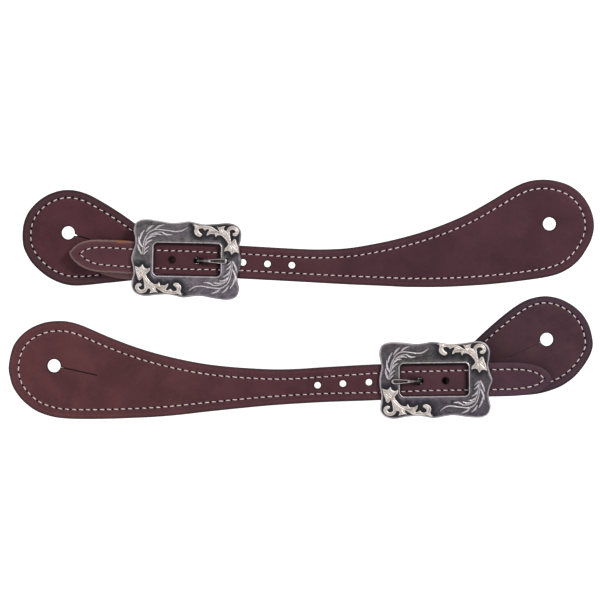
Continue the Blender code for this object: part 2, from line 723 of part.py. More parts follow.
def tongue_spine(strap):
    """The tongue's middle line from ring to tip: x and z from the bar, and width."""
    hole_x = strap["holes"][1][0]
    drawn_x = hole_x - strap["draw"]
    tip = strap["tongue_tip"]
    billet_z = BILLET_Z + PLY_STACK / 2 - BAR_Z
    rest_z = TONGUE_REST_Z + TONGUE_T / 2 - BAR_Z
    raised = strap["draw"] / DRAW

    def at_angle(t, x, z):
        """A point of the fixed page, seen from the tongue once it has turned up by t."""
        return x * math.cos(t) + z * math.sin(t), -x * math.sin(t) + z * math.cos(t)

    # out from the ring to an elbow, then up to the billet's hole as it lies at full rise
    low = at_angle(raised, drawn_x - 0.1, 2.6)
    elbow = (min(low[0] - 1.2, 3.0), max(low[1] - 0.6, -1.45))
    root = Vector(elbow).normalized() * 1.5
    spine = [
        (root.x, root.y, 2.0),
        (*elbow, 1.8),
        (*low, 1.6),
        (*at_angle(raised, drawn_x, 3.4), SWEEP_W),
    ]
    # the crank follows the hole from full rise down to the lowest angle
    for step in range(SWEEP_STEPS + 1):
        t = raised + (LOWEST_ANGLE - raised) * step / SWEEP_STEPS
        spine.append((*at_angle(t, hole_x - DRAW * t, billet_z), SWEEP_W))
    # then over to the level tip
    x, z, _ = spine[-1]
    spine += [
        (x + 0.35, z + 0.75, 1.6), (x + 1.3, z + 1.35, 1.8), (x + 3.0, rest_z - 0.25, 2.3),
        (x + 6.0, rest_z, 2.8), (tip - 4.2, rest_z, 2.8), (tip - 1.8, rest_z, 2.2),
        (tip, rest_z, 0.9),
    ]
    return spine[:1] + [
        point for before, point in zip(spine, spine[1:])
        if math.dist(point[:2], before[:2]) > SPINE_GAP
    ]


def build_tongue(side, strap):
    """A chamfered strip along the spine, with a bored ring on the bar."""
    place = placer(strap, strap["mirror"])
    middle = strap["tongue_y"]
    spine = tongue_spine(strap)
    rings = []
    for i, (x, z, width) in enumerate(spine):
        before, after = neighbours(spine, i, False)
        ahead = Vector((after[0] - before[0], after[1] - before[1])).normalized()
        face = Vector((-ahead.y, ahead.x)) * TONGUE_T / 2
        shoulder = face * (1 - TONGUE_CHAMFER / (TONGUE_T / 2))
        half = width / 2
        rings.append([
            (x - face.x, middle - half, z - face.y),
            (x - face.x, middle + half, z - face.y),
            (x + shoulder.x, middle + half, z + shoulder.y),
            (x + face.x, middle + half - TONGUE_CHAMFER, z + face.y),
            (x + face.x, middle - half + TONGUE_CHAMFER, z + face.y),
            (x + shoulder.x, middle - half, z + shoulder.y),
        ])
    tongue = tube(f"{side}_buckle_tongue", rings, False, lambda x, y, z: place(x, y, BAR_Z + z))

    def round_bar(name, radius, y0, y1):
        return prism(name, disc(0, 0, radius, TONGUE_RING_SIDES), y0, y1,
                     lambda x, z, y: place(x, y, BAR_Z + z))

    loop = round_bar("loop", TONGUE_RING_R, middle - TONGUE_RING_HALF, middle + TONGUE_RING_HALF)
    combine(tongue, [loop], "UNION")
    combine(tongue, [round_bar("bore", TONGUE_RING_IN, -TONGUE_BORE_HALF, TONGUE_BORE_HALF)])
    finish(tongue, "tongue")


def build_scroll(name, outline, place):
    """A thin plate on the frame's face, with a chamfered upper edge."""
    count = len(outline)
    z0 = FRAME_Z1 + OVERLAY_GAP
    inner = moved(outline, [OVERLAY_CHAMFER] * count, True)
    vertices = [(x, y, z0) for x, y in outline]
    vertices += [(x, y, z0 + OVERLAY_T * OVERLAY_SIDE) for x, y in outline]
    vertices += [(x, y, z0 + OVERLAY_T) for x, y in inner]
    faces = [tuple(range(count)), tuple(range(2 * count, 3 * count))]
    for k in range(count):
        m = (k + 1) % count
        faces.append((k, m, count + m, count + k))
        faces.append((count + k, count + m, 2 * count + m, 2 * count + k))
    finish(solid(name, vertices, faces, place), "silver")


def build_buckle(side, strap):
    build_frame(side, strap)
    build_tongue(side, strap)
    for name, sign in (("top", 1), ("bottom", -1)):
        outline = spline([(sign * x, sign * y) for x, y in SCROLL], closed=True, per=2)
        build_scroll(f"{side}_scroll_overlay_{name}", outline, placer(strap, False))


def main():
    clear()
    for side, strap in STRAPS.items():
        build_long(side, strap)
        build_short(side, strap)
        build_buckle(side, strap)


main()
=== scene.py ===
"""A pair of spur straps: leather, stitching, engraved buckles and their silver scrolls.

The straps lie flat, face up (+Z), with their undersides at about z = 0. Strap millimetres start at
the buckle's bar: x runs along the long piece towards its far end, y runs along the bar and z is
height. The left strap is mirrored in x. The two buckles are alike, so neither buckle is mirrored.
"""

import json
import math

import bpy
import numpy as np
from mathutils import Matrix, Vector, geometry


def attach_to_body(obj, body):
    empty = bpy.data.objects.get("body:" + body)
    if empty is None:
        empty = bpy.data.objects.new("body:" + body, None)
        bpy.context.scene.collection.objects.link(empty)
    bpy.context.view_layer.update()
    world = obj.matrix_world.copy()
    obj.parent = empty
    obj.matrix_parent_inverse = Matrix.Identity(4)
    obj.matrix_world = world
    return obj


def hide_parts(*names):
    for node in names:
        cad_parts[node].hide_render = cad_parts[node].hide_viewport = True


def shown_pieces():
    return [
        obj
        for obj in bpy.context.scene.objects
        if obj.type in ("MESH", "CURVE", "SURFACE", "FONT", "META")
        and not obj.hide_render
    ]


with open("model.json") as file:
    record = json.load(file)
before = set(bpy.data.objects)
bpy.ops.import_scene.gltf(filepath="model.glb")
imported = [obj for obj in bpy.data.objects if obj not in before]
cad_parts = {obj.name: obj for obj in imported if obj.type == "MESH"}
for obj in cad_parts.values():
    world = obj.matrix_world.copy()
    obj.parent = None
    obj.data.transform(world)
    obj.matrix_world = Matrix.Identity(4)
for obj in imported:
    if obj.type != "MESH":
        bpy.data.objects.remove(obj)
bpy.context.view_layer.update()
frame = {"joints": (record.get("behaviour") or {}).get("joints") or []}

# ---- Sizes, in millimetres -------------------------------------------------------------------
# plies, and the two glued together
LINING, OUTER, GLUE = 1.3, 2.2, 0.05
STACK = LINING + GLUE + OUTER
# the bar, the lining's bend round it, and the turned end that comes back over the short piece
BAR_Z, BAR_R = 2.45, 1.1
WRAP_IN = 1.17
TURN_Z0 = BAR_Z + 1.15
TURN_Z1 = TURN_Z0 + LINING
# the long piece passes over the bar at BILLET_Z and falls to the ground between these x
BILLET_Z = TURN_Z1 + 0.1
FALL_FROM, FALL_TO = 34.0, 100.0
# holes, the slit from a button hole, and the notch where the slit starts
HOLE_R, BUTTON_R, SLIT_W = 1.87, 3.75, 0.12
NOTCH_W, NOTCH_L = 1.25, 2.0
# the lining's cut parts from the outer ply's by this much
SLIT_LEAN = 0.35
# stitches: length, and how far the seam is sunk under the face of a ply
PITCH = 4.0
STITCH_SUNK = 0.18
# the buckle frame's opening, underside and face
OPEN_Y, OPEN_R = 9.25, 2.4
FRAME_Z0 = BILLET_Z + STACK + 0.15
FACE_Z = FRAME_Z0 + 2.3
# how far the tongue's hole slides along the strap for each radian the tongue rises
DRAW = 4.9

# Each frame's scalloped outline, (x, y): the upper half, then the lower half as its half turn.
SCALLOPS = {
    "right": (
        [
            (-31.4, 0.3), (-30.6, 4.1), (-29.3, 8.1), (-29.4, 12.3), (-30.3, 16.3), (-28.8, 20.9),
            (-24.1, 22.8), (-16.8, 22.2), (-9.7, 21.0), (-4.9, 21.1), (1.7, 21.9), (9.3, 20.4),
            (16.4, 20.7), (23.4, 21.3), (28.3, 19.9), (30.8, 16.6), (30.9, 12.2), (30.0, 8.3),
            (30.4, 4.2),
        ],
        [
            (-31.4, 0.3), (-30.6, 4.1), (-29.3, 8.0), (-29.4, 12.1), (-30.3, 16.0), (-28.8, 20.5),
            (-24.1, 22.4), (-16.8, 21.8), (-9.7, 20.6), (-4.9, 20.7), (1.7, 21.5), (9.3, 20.0),
            (16.4, 20.3), (23.4, 21.0), (28.3, 19.6), (30.8, 16.5), (30.9, 12.2), (30.0, 8.3),
            (30.4, 4.2),
        ],
    ),
    "left": (
        [
            (-31.9, 0.0), (-31.4, 3.6), (-30.6, 7.4), (-31.2, 11.6), (-31.8, 15.6), (-30.3, 19.9),
            (-25.6, 21.7), (-18.6, 21.5), (-11.2, 20.6), (-6.5, 20.9), (-0.8, 21.7), (7.4, 20.4),
            (15.5, 20.6), (23.6, 21.7), (28.7, 20.4), (31.1, 16.6), (30.9, 12.0), (30.2, 8.1),
            (31.0, 4.3),
        ],
        [
            (-32.5, 0.4), (-31.2, 4.1), (-30.2, 7.8), (-30.6, 11.8), (-31.4, 15.8), (-29.7, 20.0),
            (-25.2, 21.9), (-17.8, 21.4), (-10.5, 20.3), (-5.8, 20.7), (1.2, 21.7), (9.0, 20.5),
            (16.2, 20.8), (23.6, 21.9), (28.9, 20.6), (31.5, 17.1), (31.2, 12.4), (30.8, 8.4),
            (31.6, 4.2),
        ],
    ),
}

# The silver scroll: closed outlines, (x, y).
SCROLL_OUTLINES = [
    # stem, leaf and the three-pointed tuft
    [
        (4.9, 19.9), (6.5, 19.4), (10.0, 19.3), (13.0, 19.1), (14.7, 18.5), (16.2, 17.5),
        (17.4, 16.7), (18.3, 16.3), (17.9, 17.5), (17.0, 18.9), (18.3, 18.6), (20.2, 19.0),
        (21.6, 19.3), (21.1, 18.2), (21.1, 17.0), (22.0, 16.7), (23.4, 15.6), (24.5, 13.9),
        (24.8, 12.2), (25.2, 10.5), (24.6, 9.2), (23.5, 8.9), (22.9, 10.2), (22.1, 11.2),
        (21.4, 12.2), (20.5, 13.1), (19.5, 13.8), (18.1, 14.0), (17.1, 13.6), (16.6, 12.7),
        (16.1, 13.8), (15.6, 14.7), (14.6, 14.5), (13.4, 14.6), (12.3, 13.9), (11.6, 13.5),
        (11.4, 14.4), (11.9, 15.6), (12.6, 16.7), (12.4, 17.4), (11.4, 17.1), (10.3, 16.5),
        (9.6, 17.3), (8.6, 17.8), (7.3, 17.5), (6.0, 17.8), (5.0, 18.6),
    ],
    # the curl that ends in a drop
    [
        (5.2, 18.5), (4.7, 17.2), (4.4, 15.8), (4.9, 14.4), (5.8, 13.5), (7.0, 13.0), (8.1, 13.1),
        (8.8, 13.8), (8.8, 14.6), (8.0, 15.2), (7.2, 16.0), (6.9, 17.0), (7.3, 18.2),
    ],
    # the forked tip
    [
        (3.5, 20.2), (4.8, 20.1), (6.0, 19.5), (6.6, 18.8), (6.0, 17.9), (4.9, 17.9), (4.6, 18.9),
        (3.6, 19.3), (4.4, 19.7),
    ],
    # the bell flower
    [
        (23.5, 8.9), (24.3, 9.9), (25.4, 10.4), (26.1, 11.4), (27.0, 12.1), (27.8, 11.5),
        (28.2, 10.1), (28.6, 8.9), (29.2, 7.1), (29.5, 5.3), (29.8, 3.8), (29.0, 4.1), (28.0, 4.5),
        (27.0, 4.4), (26.3, 3.9), (25.7, 3.0), (25.1, 3.6), (24.7, 4.6), (23.8, 5.1), (22.6, 5.2),
        (21.5, 4.7), (21.4, 5.7), (21.7, 6.7), (22.4, 7.5), (23.0, 8.1),
    ],
]
# The scroll's ring, a stroke: (x, y) points, then the half width at each.
SCROLL_RING = (
    [
        (23.7, 14.6), (23.4, 16.4), (24.1, 17.7), (25.4, 18.3), (26.9, 18.1), (28.0, 17.1),
        (28.3, 15.7), (27.6, 14.7), (26.8, 14.6),
    ],
    [0.8, 0.95, 1.0, 1.05, 1.05, 1.0, 1.0, 1.05, 1.0],
)
# Lines cut into the silver, (x, y).
VEINS = [
    [
        (7.0, 18.7), (10.0, 18.4), (13.2, 18.0), (16.4, 16.3), (19.4, 14.9), (22.2, 12.6),
        (24.0, 10.2),
    ],
    [(12.2, 14.6), (13.4, 15.7), (15.2, 16.2), (17.8, 15.4)],
    [(14.2, 15.0), (15.0, 15.6), (16.6, 15.6)],
    [(20.6, 16.2), (20.0, 17.4), (20.4, 18.4)],
    [(19.8, 16.0), (18.8, 17.2), (17.8, 18.3)],
    [
        (23.4, 14.6), (23.2, 16.4), (24.0, 17.8), (25.5, 18.5), (27.0, 18.2), (28.3, 17.0),
        (28.5, 15.6),
    ],
    [(6.0, 18.0), (5.4, 16.3), (5.9, 14.8), (7.2, 14.0)],
    [(25.0, 9.6), (26.4, 10.2), (27.2, 11.3)],
    [(24.8, 9.0), (26.9, 7.6), (28.8, 5.2)],
    [(24.6, 8.6), (25.8, 6.6), (25.8, 4.1)],
    [(24.2, 8.3), (23.6, 6.9), (22.2, 5.9)],
    [(26.6, 9.4), (27.6, 8.0), (28.4, 6.6)],
]
# How each scroll is set: sideways, outwards, and its stretch away from the flower's edge.
SCROLL_SET = {
    "right": {"top": (0.25, 0.2, 1.02), "bottom": (-0.45, 0.1, 1.057)},
    "left": {"top": (-0.2, 0.88, 1.085), "bottom": (0.5, 0.7, 1.095)},
}
FLOWER_EDGE = (29.8, 0.0)

# The engraved leaf spray on the other two corners, as strokes: (x, y) points, then half widths.
SPRAY = [
    (
        [
            (-24.9, 2.6), (-24.7, 6.9), (-23.6, 11.7), (-21.5, 15.0), (-17.8, 16.8),
            (-12.1, 16.5), (-6.4, 15.8), (-2.6, 16.4), (0.7, 18.4),
        ],
        [0.12, 0.17, 0.2, 0.22, 0.24, 0.24, 0.28, 0.3, 0.1],
    ),
    (
        [(-24.1, 2.6), (-23.8, 6.9), (-22.4, 11.7), (-20.0, 14.1), (-16.3, 15.3), (-13.0, 15.2)],
        [0.1, 0.16, 0.18, 0.2, 0.2, 0.12],
    ),
    ([(-23.0, 15.4), (-21.2, 17.7), (-18.9, 19.2)], [0.12, 0.5, 0.1]),
    ([(-18.5, 16.6), (-16.2, 18.5), (-12.5, 19.7)], [0.12, 0.45, 0.1]),
    ([(-26.4, 11.2), (-25.7, 14.0), (-23.9, 16.7)], [0.12, 0.45, 0.12]),
    ([(-27.2, 12.9), (-27.0, 10.6), (-26.2, 8.4), (-24.9, 6.7)], [0.1, 0.42, 0.4, 0.12]),
    ([(-27.7, 8.4), (-27.2, 6.3), (-26.2, 4.2), (-25.3, 2.5)], [0.12, 0.42, 0.38, 0.1]),
    ([(-14.0, 15.2), (-11.1, 14.0), (-8.0, 14.0)], [0.12, 0.42, 0.1]),
    ([(-20.1, 13.6), (-16.8, 14.3), (-13.8, 13.7)], [0.12, 0.36, 0.1]),
    ([(-23.0, 10.6), (-20.3, 12.7), (-17.2, 12.9)], [0.1, 0.42, 0.1]),
    ([(-23.6, 7.3), (-22.0, 9.6), (-19.4, 10.9)], [0.1, 0.42, 0.1]),
    ([(-24.0, 4.4), (-22.9, 6.1), (-21.1, 7.2)], [0.1, 0.36, 0.1]),
    ([(-24.1, 2.6), (-22.9, 4.0), (-21.6, 5.0)], [0.1, 0.3, 0.08]),
]
SPRAY_BOLDER = 1.02
# Each spray's shift in x and in y, (constant, by x, by y), for the upper and the lower one.
SPRAY_SET = {
    "right": (((0.0, 0.0, 0.0), (0.1, 0.0, 0.0)), ((-2.24, -0.038, 0.0), (-2.44, 0.0, 0.093))),
    "left": (
        ((-5.8, -0.159, 0.096), (-1.7, 0.0185, 0.078)),
        ((-2.63, -0.098, -0.027), (-2.22, 0.0, 0.083)),
    ),
}

# Each strap's outlines and holes, (x, y). "turned" is the turned end: x, its upper and lower y.
# "draw" is how far the tongue's hole is drawn back, "tip" the x of the tongue's tip and "boat"
# the length of its broad end. Slits are given by their far end. "face_off" is how far the
# buckle's face sits off its bar; "opening" and "open_x" are the centre and half length of the
# frame's opening.
SHAPES = {
    "right": {
        "long_top": [
            (-67.0, 2.5), (-65.4, 5.2), (-62.4, 7.9), (-57.6, 10.0), (-50.0, 10.8), (-30.0, 10.2),
            (-16.0, 9.9), (0.0, 9.8), (17.0, 9.3), (37.0, 8.4), (64.5, 7.4), (78.0, 7.4),
            (92.0, 8.4), (106.0, 10.9), (119.0, 13.9), (133.0, 18.0), (146.0, 22.8),
            (160.0, 29.2), (173.5, 37.1), (183.5, 43.4), (190.5, 47.0), (197.0, 48.9),
            (204.0, 49.4), (211.0, 48.5), (217.7, 46.2), (223.5, 42.2), (228.1, 36.4),
            (230.9, 30.2), (232.0, 23.4),
        ],
        "long_bot": [
            (230.9, 16.6), (228.4, 11.0), (224.1, 4.3), (218.5, -0.8), (211.8, -4.4),
            (204.0, -6.5), (194.5, -8.1), (181.0, -10.0), (167.0, -11.5), (147.0, -12.9),
            (126.5, -13.3), (112.5, -12.9), (92.0, -12.4), (65.0, -11.4), (37.0, -10.4),
            (17.0, -9.8), (0.0, -9.6), (-31.5, -8.7), (-49.0, -8.0), (-55.7, -6.8),
            (-61.0, -4.4), (-64.6, -1.4),
        ],
        "short_top": [
            (0.0, 9.45), (-9.5, 9.6), (-16.5, 10.9), (-22.0, 14.5), (-28.1, 19.0), (-35.0, 23.9),
            (-42.0, 28.4), (-49.0, 32.5), (-56.0, 36.1), (-62.5, 38.2), (-67.8, 38.8),
            (-73.0, 38.3), (-78.6, 36.4), (-83.1, 33.8), (-87.0, 30.5), (-90.9, 25.6),
            (-93.3, 19.5), (-94.0, 12.7),
        ],
        "short_bot": [
            (-93.4, 6.4), (-91.5, 1.8), (-88.1, -3.4), (-82.6, -8.6), (-77.7, -11.9),
            (-72.0, -14.4), (-66.8, -15.6), (-61.7, -15.8), (-55.0, -15.2), (-48.0, -14.3),
            (-41.0, -13.5), (-31.5, -12.3), (-20.5, -11.0), (-9.5, -9.9), (0.0, -9.45),
        ],
        "turned": [
            (0.0, 9.4, -9.4), (-12.0, 9.5, -9.8), (-24.0, 9.5, -10.8), (-34.0, 9.4, -11.6),
            (-43.0, 9.2, -10.4), (-49.0, 8.6, -8.6),
        ],
        "holes": [
            (-8.3, -0.2), (6.2, -0.5), (18.9, -0.7), (32.2, -0.9), (46.1, -1.5), (60.0, -2.0),
        ],
        "draw": 3.0, "tip": 23.3, "boat": 10.2, "tongue_y": -0.45,
        "big_hole": (206.5, 24.2), "big_slit": None,
        "small_hole": (-67.9, 14.3), "small_slit": (-46.0, 7.7),
        "face_off": (0.0, 0.0), "opening": (0.4, 0.1), "open_x": 19.1,
    },
    "left": {
        "long_top": [
            (-66.2, 0.3), (-64.9, 3.4), (-61.7, 6.2), (-56.6, 8.4), (-48.6, 9.8), (-37.0, 10.0),
            (-16.0, 9.95), (0.0, 9.95), (17.0, 9.9), (36.0, 9.6), (63.0, 8.4), (77.0, 7.6),
            (90.5, 7.4), (104.0, 8.1), (118.0, 9.3), (131.5, 11.1), (145.0, 13.8), (159.0, 17.4),
            (172.5, 21.8), (186.0, 27.2), (196.2, 31.8), (203.0, 34.6), (209.8, 36.3),
            (216.7, 36.5), (223.5, 35.4), (230.4, 32.5), (236.2, 28.0), (240.6, 21.6),
            (243.0, 11.2),
        ],
        "long_bot": [
            (242.3, 4.5), (240.6, -1.0), (237.0, -6.6), (232.7, -11.0), (227.3, -14.8),
            (220.8, -17.4), (213.9, -18.9), (203.5, -19.6), (186.5, -19.7), (173.0, -19.4),
            (159.0, -18.9), (145.5, -17.9), (131.8, -16.5), (111.3, -14.6), (91.0, -13.0),
            (63.5, -11.6), (36.0, -10.9), (17.0, -10.2), (0.0, -9.7), (-37.0, -9.5),
            (-48.4, -9.1), (-56.4, -7.9), (-61.6, -5.8), (-64.9, -2.9),
        ],
        "short_top": [
            (0.0, 9.45), (-6.5, 10.0), (-11.6, 12.6), (-16.8, 16.6), (-22.6, 21.8),
            (-29.5, 28.1), (-36.4, 34.0), (-43.3, 39.4), (-49.5, 43.5), (-55.0, 45.9),
            (-60.5, 47.1), (-65.4, 47.2), (-70.7, 46.1), (-75.8, 43.9), (-81.0, 40.4),
            (-85.2, 36.0), (-88.6, 29.6), (-90.4, 21.2),
        ],
        "short_bot": [
            (-89.8, 15.9), (-87.4, 10.8), (-83.9, 5.7), (-79.5, 0.9), (-75.0, -2.5),
            (-70.1, -5.1), (-63.2, -7.4), (-56.4, -8.7), (-46.1, -9.3), (-32.4, -9.6),
            (-20.0, -9.6), (-9.5, -9.6), (0.0, -9.45),
        ],
        "turned": [
            (0.0, 9.4, -9.4), (-12.0, 9.5, -9.5), (-24.0, 9.5, -9.6), (-34.0, 9.4, -9.6),
            (-43.0, 9.2, -9.3), (-49.0, 8.6, -8.6),
        ],
        "holes": [
            (-5.8, -0.2), (8.8, -0.2), (23.3, -0.2), (37.7, -0.5), (52.5, -1.1), (66.9, -1.9),
        ],
        "draw": 3.6, "tip": 25.1, "boat": 9.9, "tongue_y": -0.25,
        "big_hole": (217.1, 11.0), "big_slit": (192.7, 5.3),
        "small_hole": (-64.1, 22.6), "small_slit": (-41.8, 12.3),
        "face_off": (0.0, 0.45), "opening": (-0.6, 0.1), "open_x": 19.5,
    },
}

# How far in the seams run: stations, then the upper and the lower margin at each.
# The long piece's stations are x, the short piece's are distances from the bar.
LONG_SEAM = {
    "right": (
        [-64.0, -50.0, -20.0, 20.0, 35.0, 60.0, 150.0],
        [5.3, 4.6, 4.8, 4.95, 4.7, 4.8, 5.1],
        [5.3, 4.4, 4.0, 4.5, 4.7, 4.7, 5.0],
    ),
    "left": (
        [-50.0, -20.0, 20.0, 35.0, 60.0, 150.0],
        [4.1, 4.3, 4.8, 5.1, 5.5, 5.7],
        [4.1, 4.0, 4.2, 4.5, 4.9, 5.4],
    ),
}
SHORT_SEAM = {
    "right": ([10.0, 40.0, 65.0, 92.0], [4.1, 4.5, 4.4, 4.8], [4.1, 5.0, 5.2, 4.8]),
    "left": (
        [10.0, 40.0, 62.0, 78.0, 90.0],
        [4.1, 4.4, 3.7, 4.0, 4.3],
        [4.1, 4.6, 4.8, 4.7, 4.3],
    ),
}


# ---- Curves and distances --------------------------------------------------------------------
def clip01(values):
    return np.clip(values, 0, 1)


def bell(values, centre, width):
    return np.exp(-(((values - centre) / width) ** 2))


def zero(points):
    """Nothing anywhere: a flat surface, or a mark that is absent."""
    return np.zeros(len(points))


def unit(vector):
    return vector / np.linalg.norm(vector)


def signed_power(values, power):
    return np.sign(values) * np.abs(values) ** power


def spline(points, closed=False, per=10):
    """A Catmull-Rom curve through the points, with `per` steps to a span."""
    points = np.array(points, float)
    count = len(points)
    share = (np.arange(per) / per)[:, None]
    curve = []
    for i in range(count if closed else count - 1):
        around = i + np.arange(-1, 3)
        around = around % count if closed else np.clip(around, 0, count - 1)
        before, start, end, after = points[around]
        curve.append(0.5 * (
            2 * start + (end - before) * share
            + (2 * before - 5 * start + 4 * end - after) * share**2
            + (3 * start - before - 3 * end + after) * share**3
        ))
    if not closed:
        curve.append(points[-1:])
    return np.vstack(curve)


def resample(points, step, closed):
    """Points about `step` apart; length is measured in the first two columns."""
    line = np.vstack([points, points[:1]]) if closed else np.asarray(points)
    run = np.r_[0, np.cumsum(np.linalg.norm(np.diff(line[:, :2], axis=0), axis=1))]
    marks = np.linspace(0, run[-1], max(3, int(round(run[-1] / step))) + 1)
    if closed:
        marks = marks[:-1]
    return np.stack([np.interp(marks, run, line[:, k]) for k in range(line.shape[1])], axis=1)


def in_blocks(measure, points, others):
    """measure(points), worked out in blocks because it compares every point with all others."""
    size = max(1, int(4e6 // others))
    starts = range(0, max(1, len(points)), size)
    return np.concatenate([measure(points[i : i + size]) for i in starts])


def distance(points, line, closed, widths=None):
    """Least distance of each point from a polyline, less the polyline's half width there."""
    starts = line if closed else line[:-1]
    run = (np.roll(line, -1, axis=0) if closed else line[1:]) - starts
    run_squared = np.maximum((run * run).sum(1), 1e-12)

    def measure(block):
        gap = block[:, None, :] - starts[None]
        share = clip01((gap * run[None]).sum(2) / run_squared[None])
        result = np.linalg.norm(gap - share[:, :, None] * run[None], axis=2)
        if widths is not None:
            result = result - (widths[None, :-1] + np.diff(widths)[None] * share)
        return result.min(1)

    return in_blocks(measure, points, len(starts))


def nearest_spot(points, spots):
    def measure(block):
        return np.linalg.norm(block[:, None] - spots[None], axis=2).min(1)

    return in_blocks(measure, points, len(spots))


def inside(points, ring):
    """Even-odd test of each point against a closed ring."""
    x1, y1 = ring[:, 0], ring[:, 1]
    x2, y2 = np.roll(x1, -1), np.roll(y1, -1)
    rise = np.where(np.abs(y2 - y1) < 1e-12, 1e-12, y2 - y1)

    def measure(block):
        x, y = block[:, 0:1], block[:, 1:2]
        crossed = ((y1 > y) != (y2 > y)) & (x < (x2 - x1) * (y - y1) / rise + x1)
        return crossed.sum(1) % 2 == 1

    return in_blocks(measure, points, len(ring))


def side_normals(line, closed):
    """Unit normals on the right of the line's heading: inwards on a clockwise ring."""
    if closed:
        heading = np.roll(line, -1, axis=0) - np.roll(line, 1, axis=0)
    else:
        heading = np.gradient(line, axis=0)
    heading /= np.maximum(np.linalg.norm(heading, axis=1), 1e-9)[:, None]
    return np.c_[heading[:, 1], -heading[:, 0]]


def moved_in(ring, by, closed=True):
    """The clockwise ring moved inwards, without the points that cross over."""
    by = np.broadcast_to(by, (len(ring),))
    moved = ring + side_normals(ring, closed) * by[:, None]
    return moved[distance(moved, ring, closed) > 0.985 * np.abs(by) - 1e-6]


def long_z(x):
    """Height of the long piece's underside."""
    share = clip01((np.asarray(x, float) - FALL_FROM) / (FALL_TO - FALL_FROM))
    return BILLET_Z * (0.5 + 0.5 * np.cos(np.pi * share))


def unevenness(x, y, scale, seed):
    """Smooth repeatable noise from a few sines, about -1 to 1."""
    rng = np.random.default_rng(seed)
    total = np.zeros(len(x))
    for _ in range(7):
        angle = rng.uniform(0, 2 * math.pi)
        rate = scale * rng.uniform(0.6, 1.8)
        phase = rng.uniform(0, 6.28)
        total += np.sin((x * math.cos(angle) + y * math.sin(angle)) * rate + phase)
    return total / 3.5


# ---- Where each strap lies: its bar and heading come from the frame's own hinge ---------------
JOINTS = {joint["name"]: joint for joint in frame["joints"]}


class Strap:
    def __init__(self, side):
        hinge = JOINTS[f"{side}_buckle_hinge"]
        self.side = side
        self.shape = SHAPES[side]
        # the way along the buckle that the tongue and the long piece point
        self.toward = -1 if side == "left" else 1
        self.bar = np.array(hinge["pos_m"][:2]) * 1000
        self.across = unit(np.array(hinge["axis"][:2]) * self.toward)
        self.along = np.array([self.across[1], -self.across[0]])
        self.face_off = np.array(self.shape["face_off"])
        self.opening = np.array(self.shape["opening"])
        upper, lower = SCALLOPS[side]
        self.scallops = spline(upper + [(-x, -y) for x, y in lower], closed=True, per=16)
        self.turned = spline(self.shape["turned"], per=5)

    def place_buckle(self, points):
        """Buckle millimetres to world metres."""
        points = np.asarray(points, float)
        ground = self.bar + points[:, 0:1] * self.along + points[:, 1:2] * self.across
        return np.c_[ground, points[:, 2]] * 0.001

    def place(self, points):
        """Strap millimetres to world metres."""
        return self.place_buckle(np.asarray(points, float) * (self.toward, 1, 1))

    def place_face(self, points):
        return self.place_buckle(np.asarray(points, float) + (*self.face_off, 0))

    def opening_in_world(self):
        """The frame's opening in world millimetres: centre, half size and turn."""
        at = self.opening + self.face_off
        centre = self.bar + at[0] * self.along + at[1] * self.across
        turn = math.atan2(self.along[1], self.along[0])
        return tuple(map(float, centre)), (self.shape["open_x"], OPEN_Y), turn


# ---- Meshes ----------------------------------------------------------------------------------
def facing_out(vertices, faces):
    """The faces, all flipped if the volume they enclose comes out negative."""
    centred = vertices - vertices.mean(0)
    volume = 0.0
    for size in {len(face) for face in faces}:
        same = np.array([face for face in faces if len(face) == size])
        for k in range(1, size - 1):
            turned = np.cross(centred[same[:, k]], centred[same[:, k + 1]])
            volume += float(np.einsum("ij,ij->", centred[same[:, 0]], turned))
    return [face[::-1] for face in faces] if volume < 0 else faces


def mesh_object(name, vertices, faces, material, attributes, sharp=None):
    """An object from world-metre vertices; `sharp` is the angle in degrees that stays an edge."""
    vertices = np.asarray(vertices, float)
    faces = facing_out(vertices, [tuple(int(i) for i in face) for face in faces])
    mesh = bpy.data.meshes.new(name)
    mesh.from_pydata(vertices.tolist(), [], faces)
    for key, values in attributes.items():
        layer = mesh.attributes.new(key, "FLOAT", "POINT")
        layer.data.foreach_set("value", np.asarray(values, np.float32))
    mesh.validate()
    mesh.shade_smooth()
    if sharp is not None:
        mesh.set_sharp_from_angle(angle=math.radians(sharp))
    mesh.materials.append(material)
    obj = bpy.data.objects.new(name, mesh)
    bpy.context.scene.collection.objects.link(obj)
    return obj


def joined(name, place, parts, material, sharp):
    """Several shells as one metal object. Parts are (vertices, faces, attributes or None)."""
    plain = {"bright": 0.2, "oxide": 0.0}
    vertices, faces = [], []
    attributes = {key: [] for key in plain}
    count = 0
    for points, part_faces, values in parts:
        placed = place(points)
        vertices.append(placed)
        faces += [tuple(i + count for i in face) for face in facing_out(placed, part_faces)]
        for key, fill in plain.items():
            attributes[key].append(values[key] if values else np.full(len(placed), fill))
        count += len(placed)
    attributes = {key: np.concatenate(values) for key, values in attributes.items()}
    return mesh_object(name, np.vstack(vertices), faces, material, attributes, sharp)


def tube_sides(count, around, closed):
    """Quads between each ring of a tube and the next."""
    faces = []
    for i in range(count if closed else count - 1):
        this, after = i * around, ((i + 1) % count) * around
        for k in range(around):
            m = (k + 1) % around
            faces.append((this + k, this + m, after + m, after + k))
    return faces


def loft(rings, closed):
    """Vertices and faces through rings of equal count. Caps wind the other way from the sides."""
    rings = np.asarray(rings, float)
    count, around = rings.shape[:2]
    faces = tube_sides(count, around, closed)
    if not closed:
        faces.append(tuple(range(around)))
        faces.append(tuple((count - 1) * around + k for k in reversed(range(around))))
    return rings.reshape(-1, 3), faces


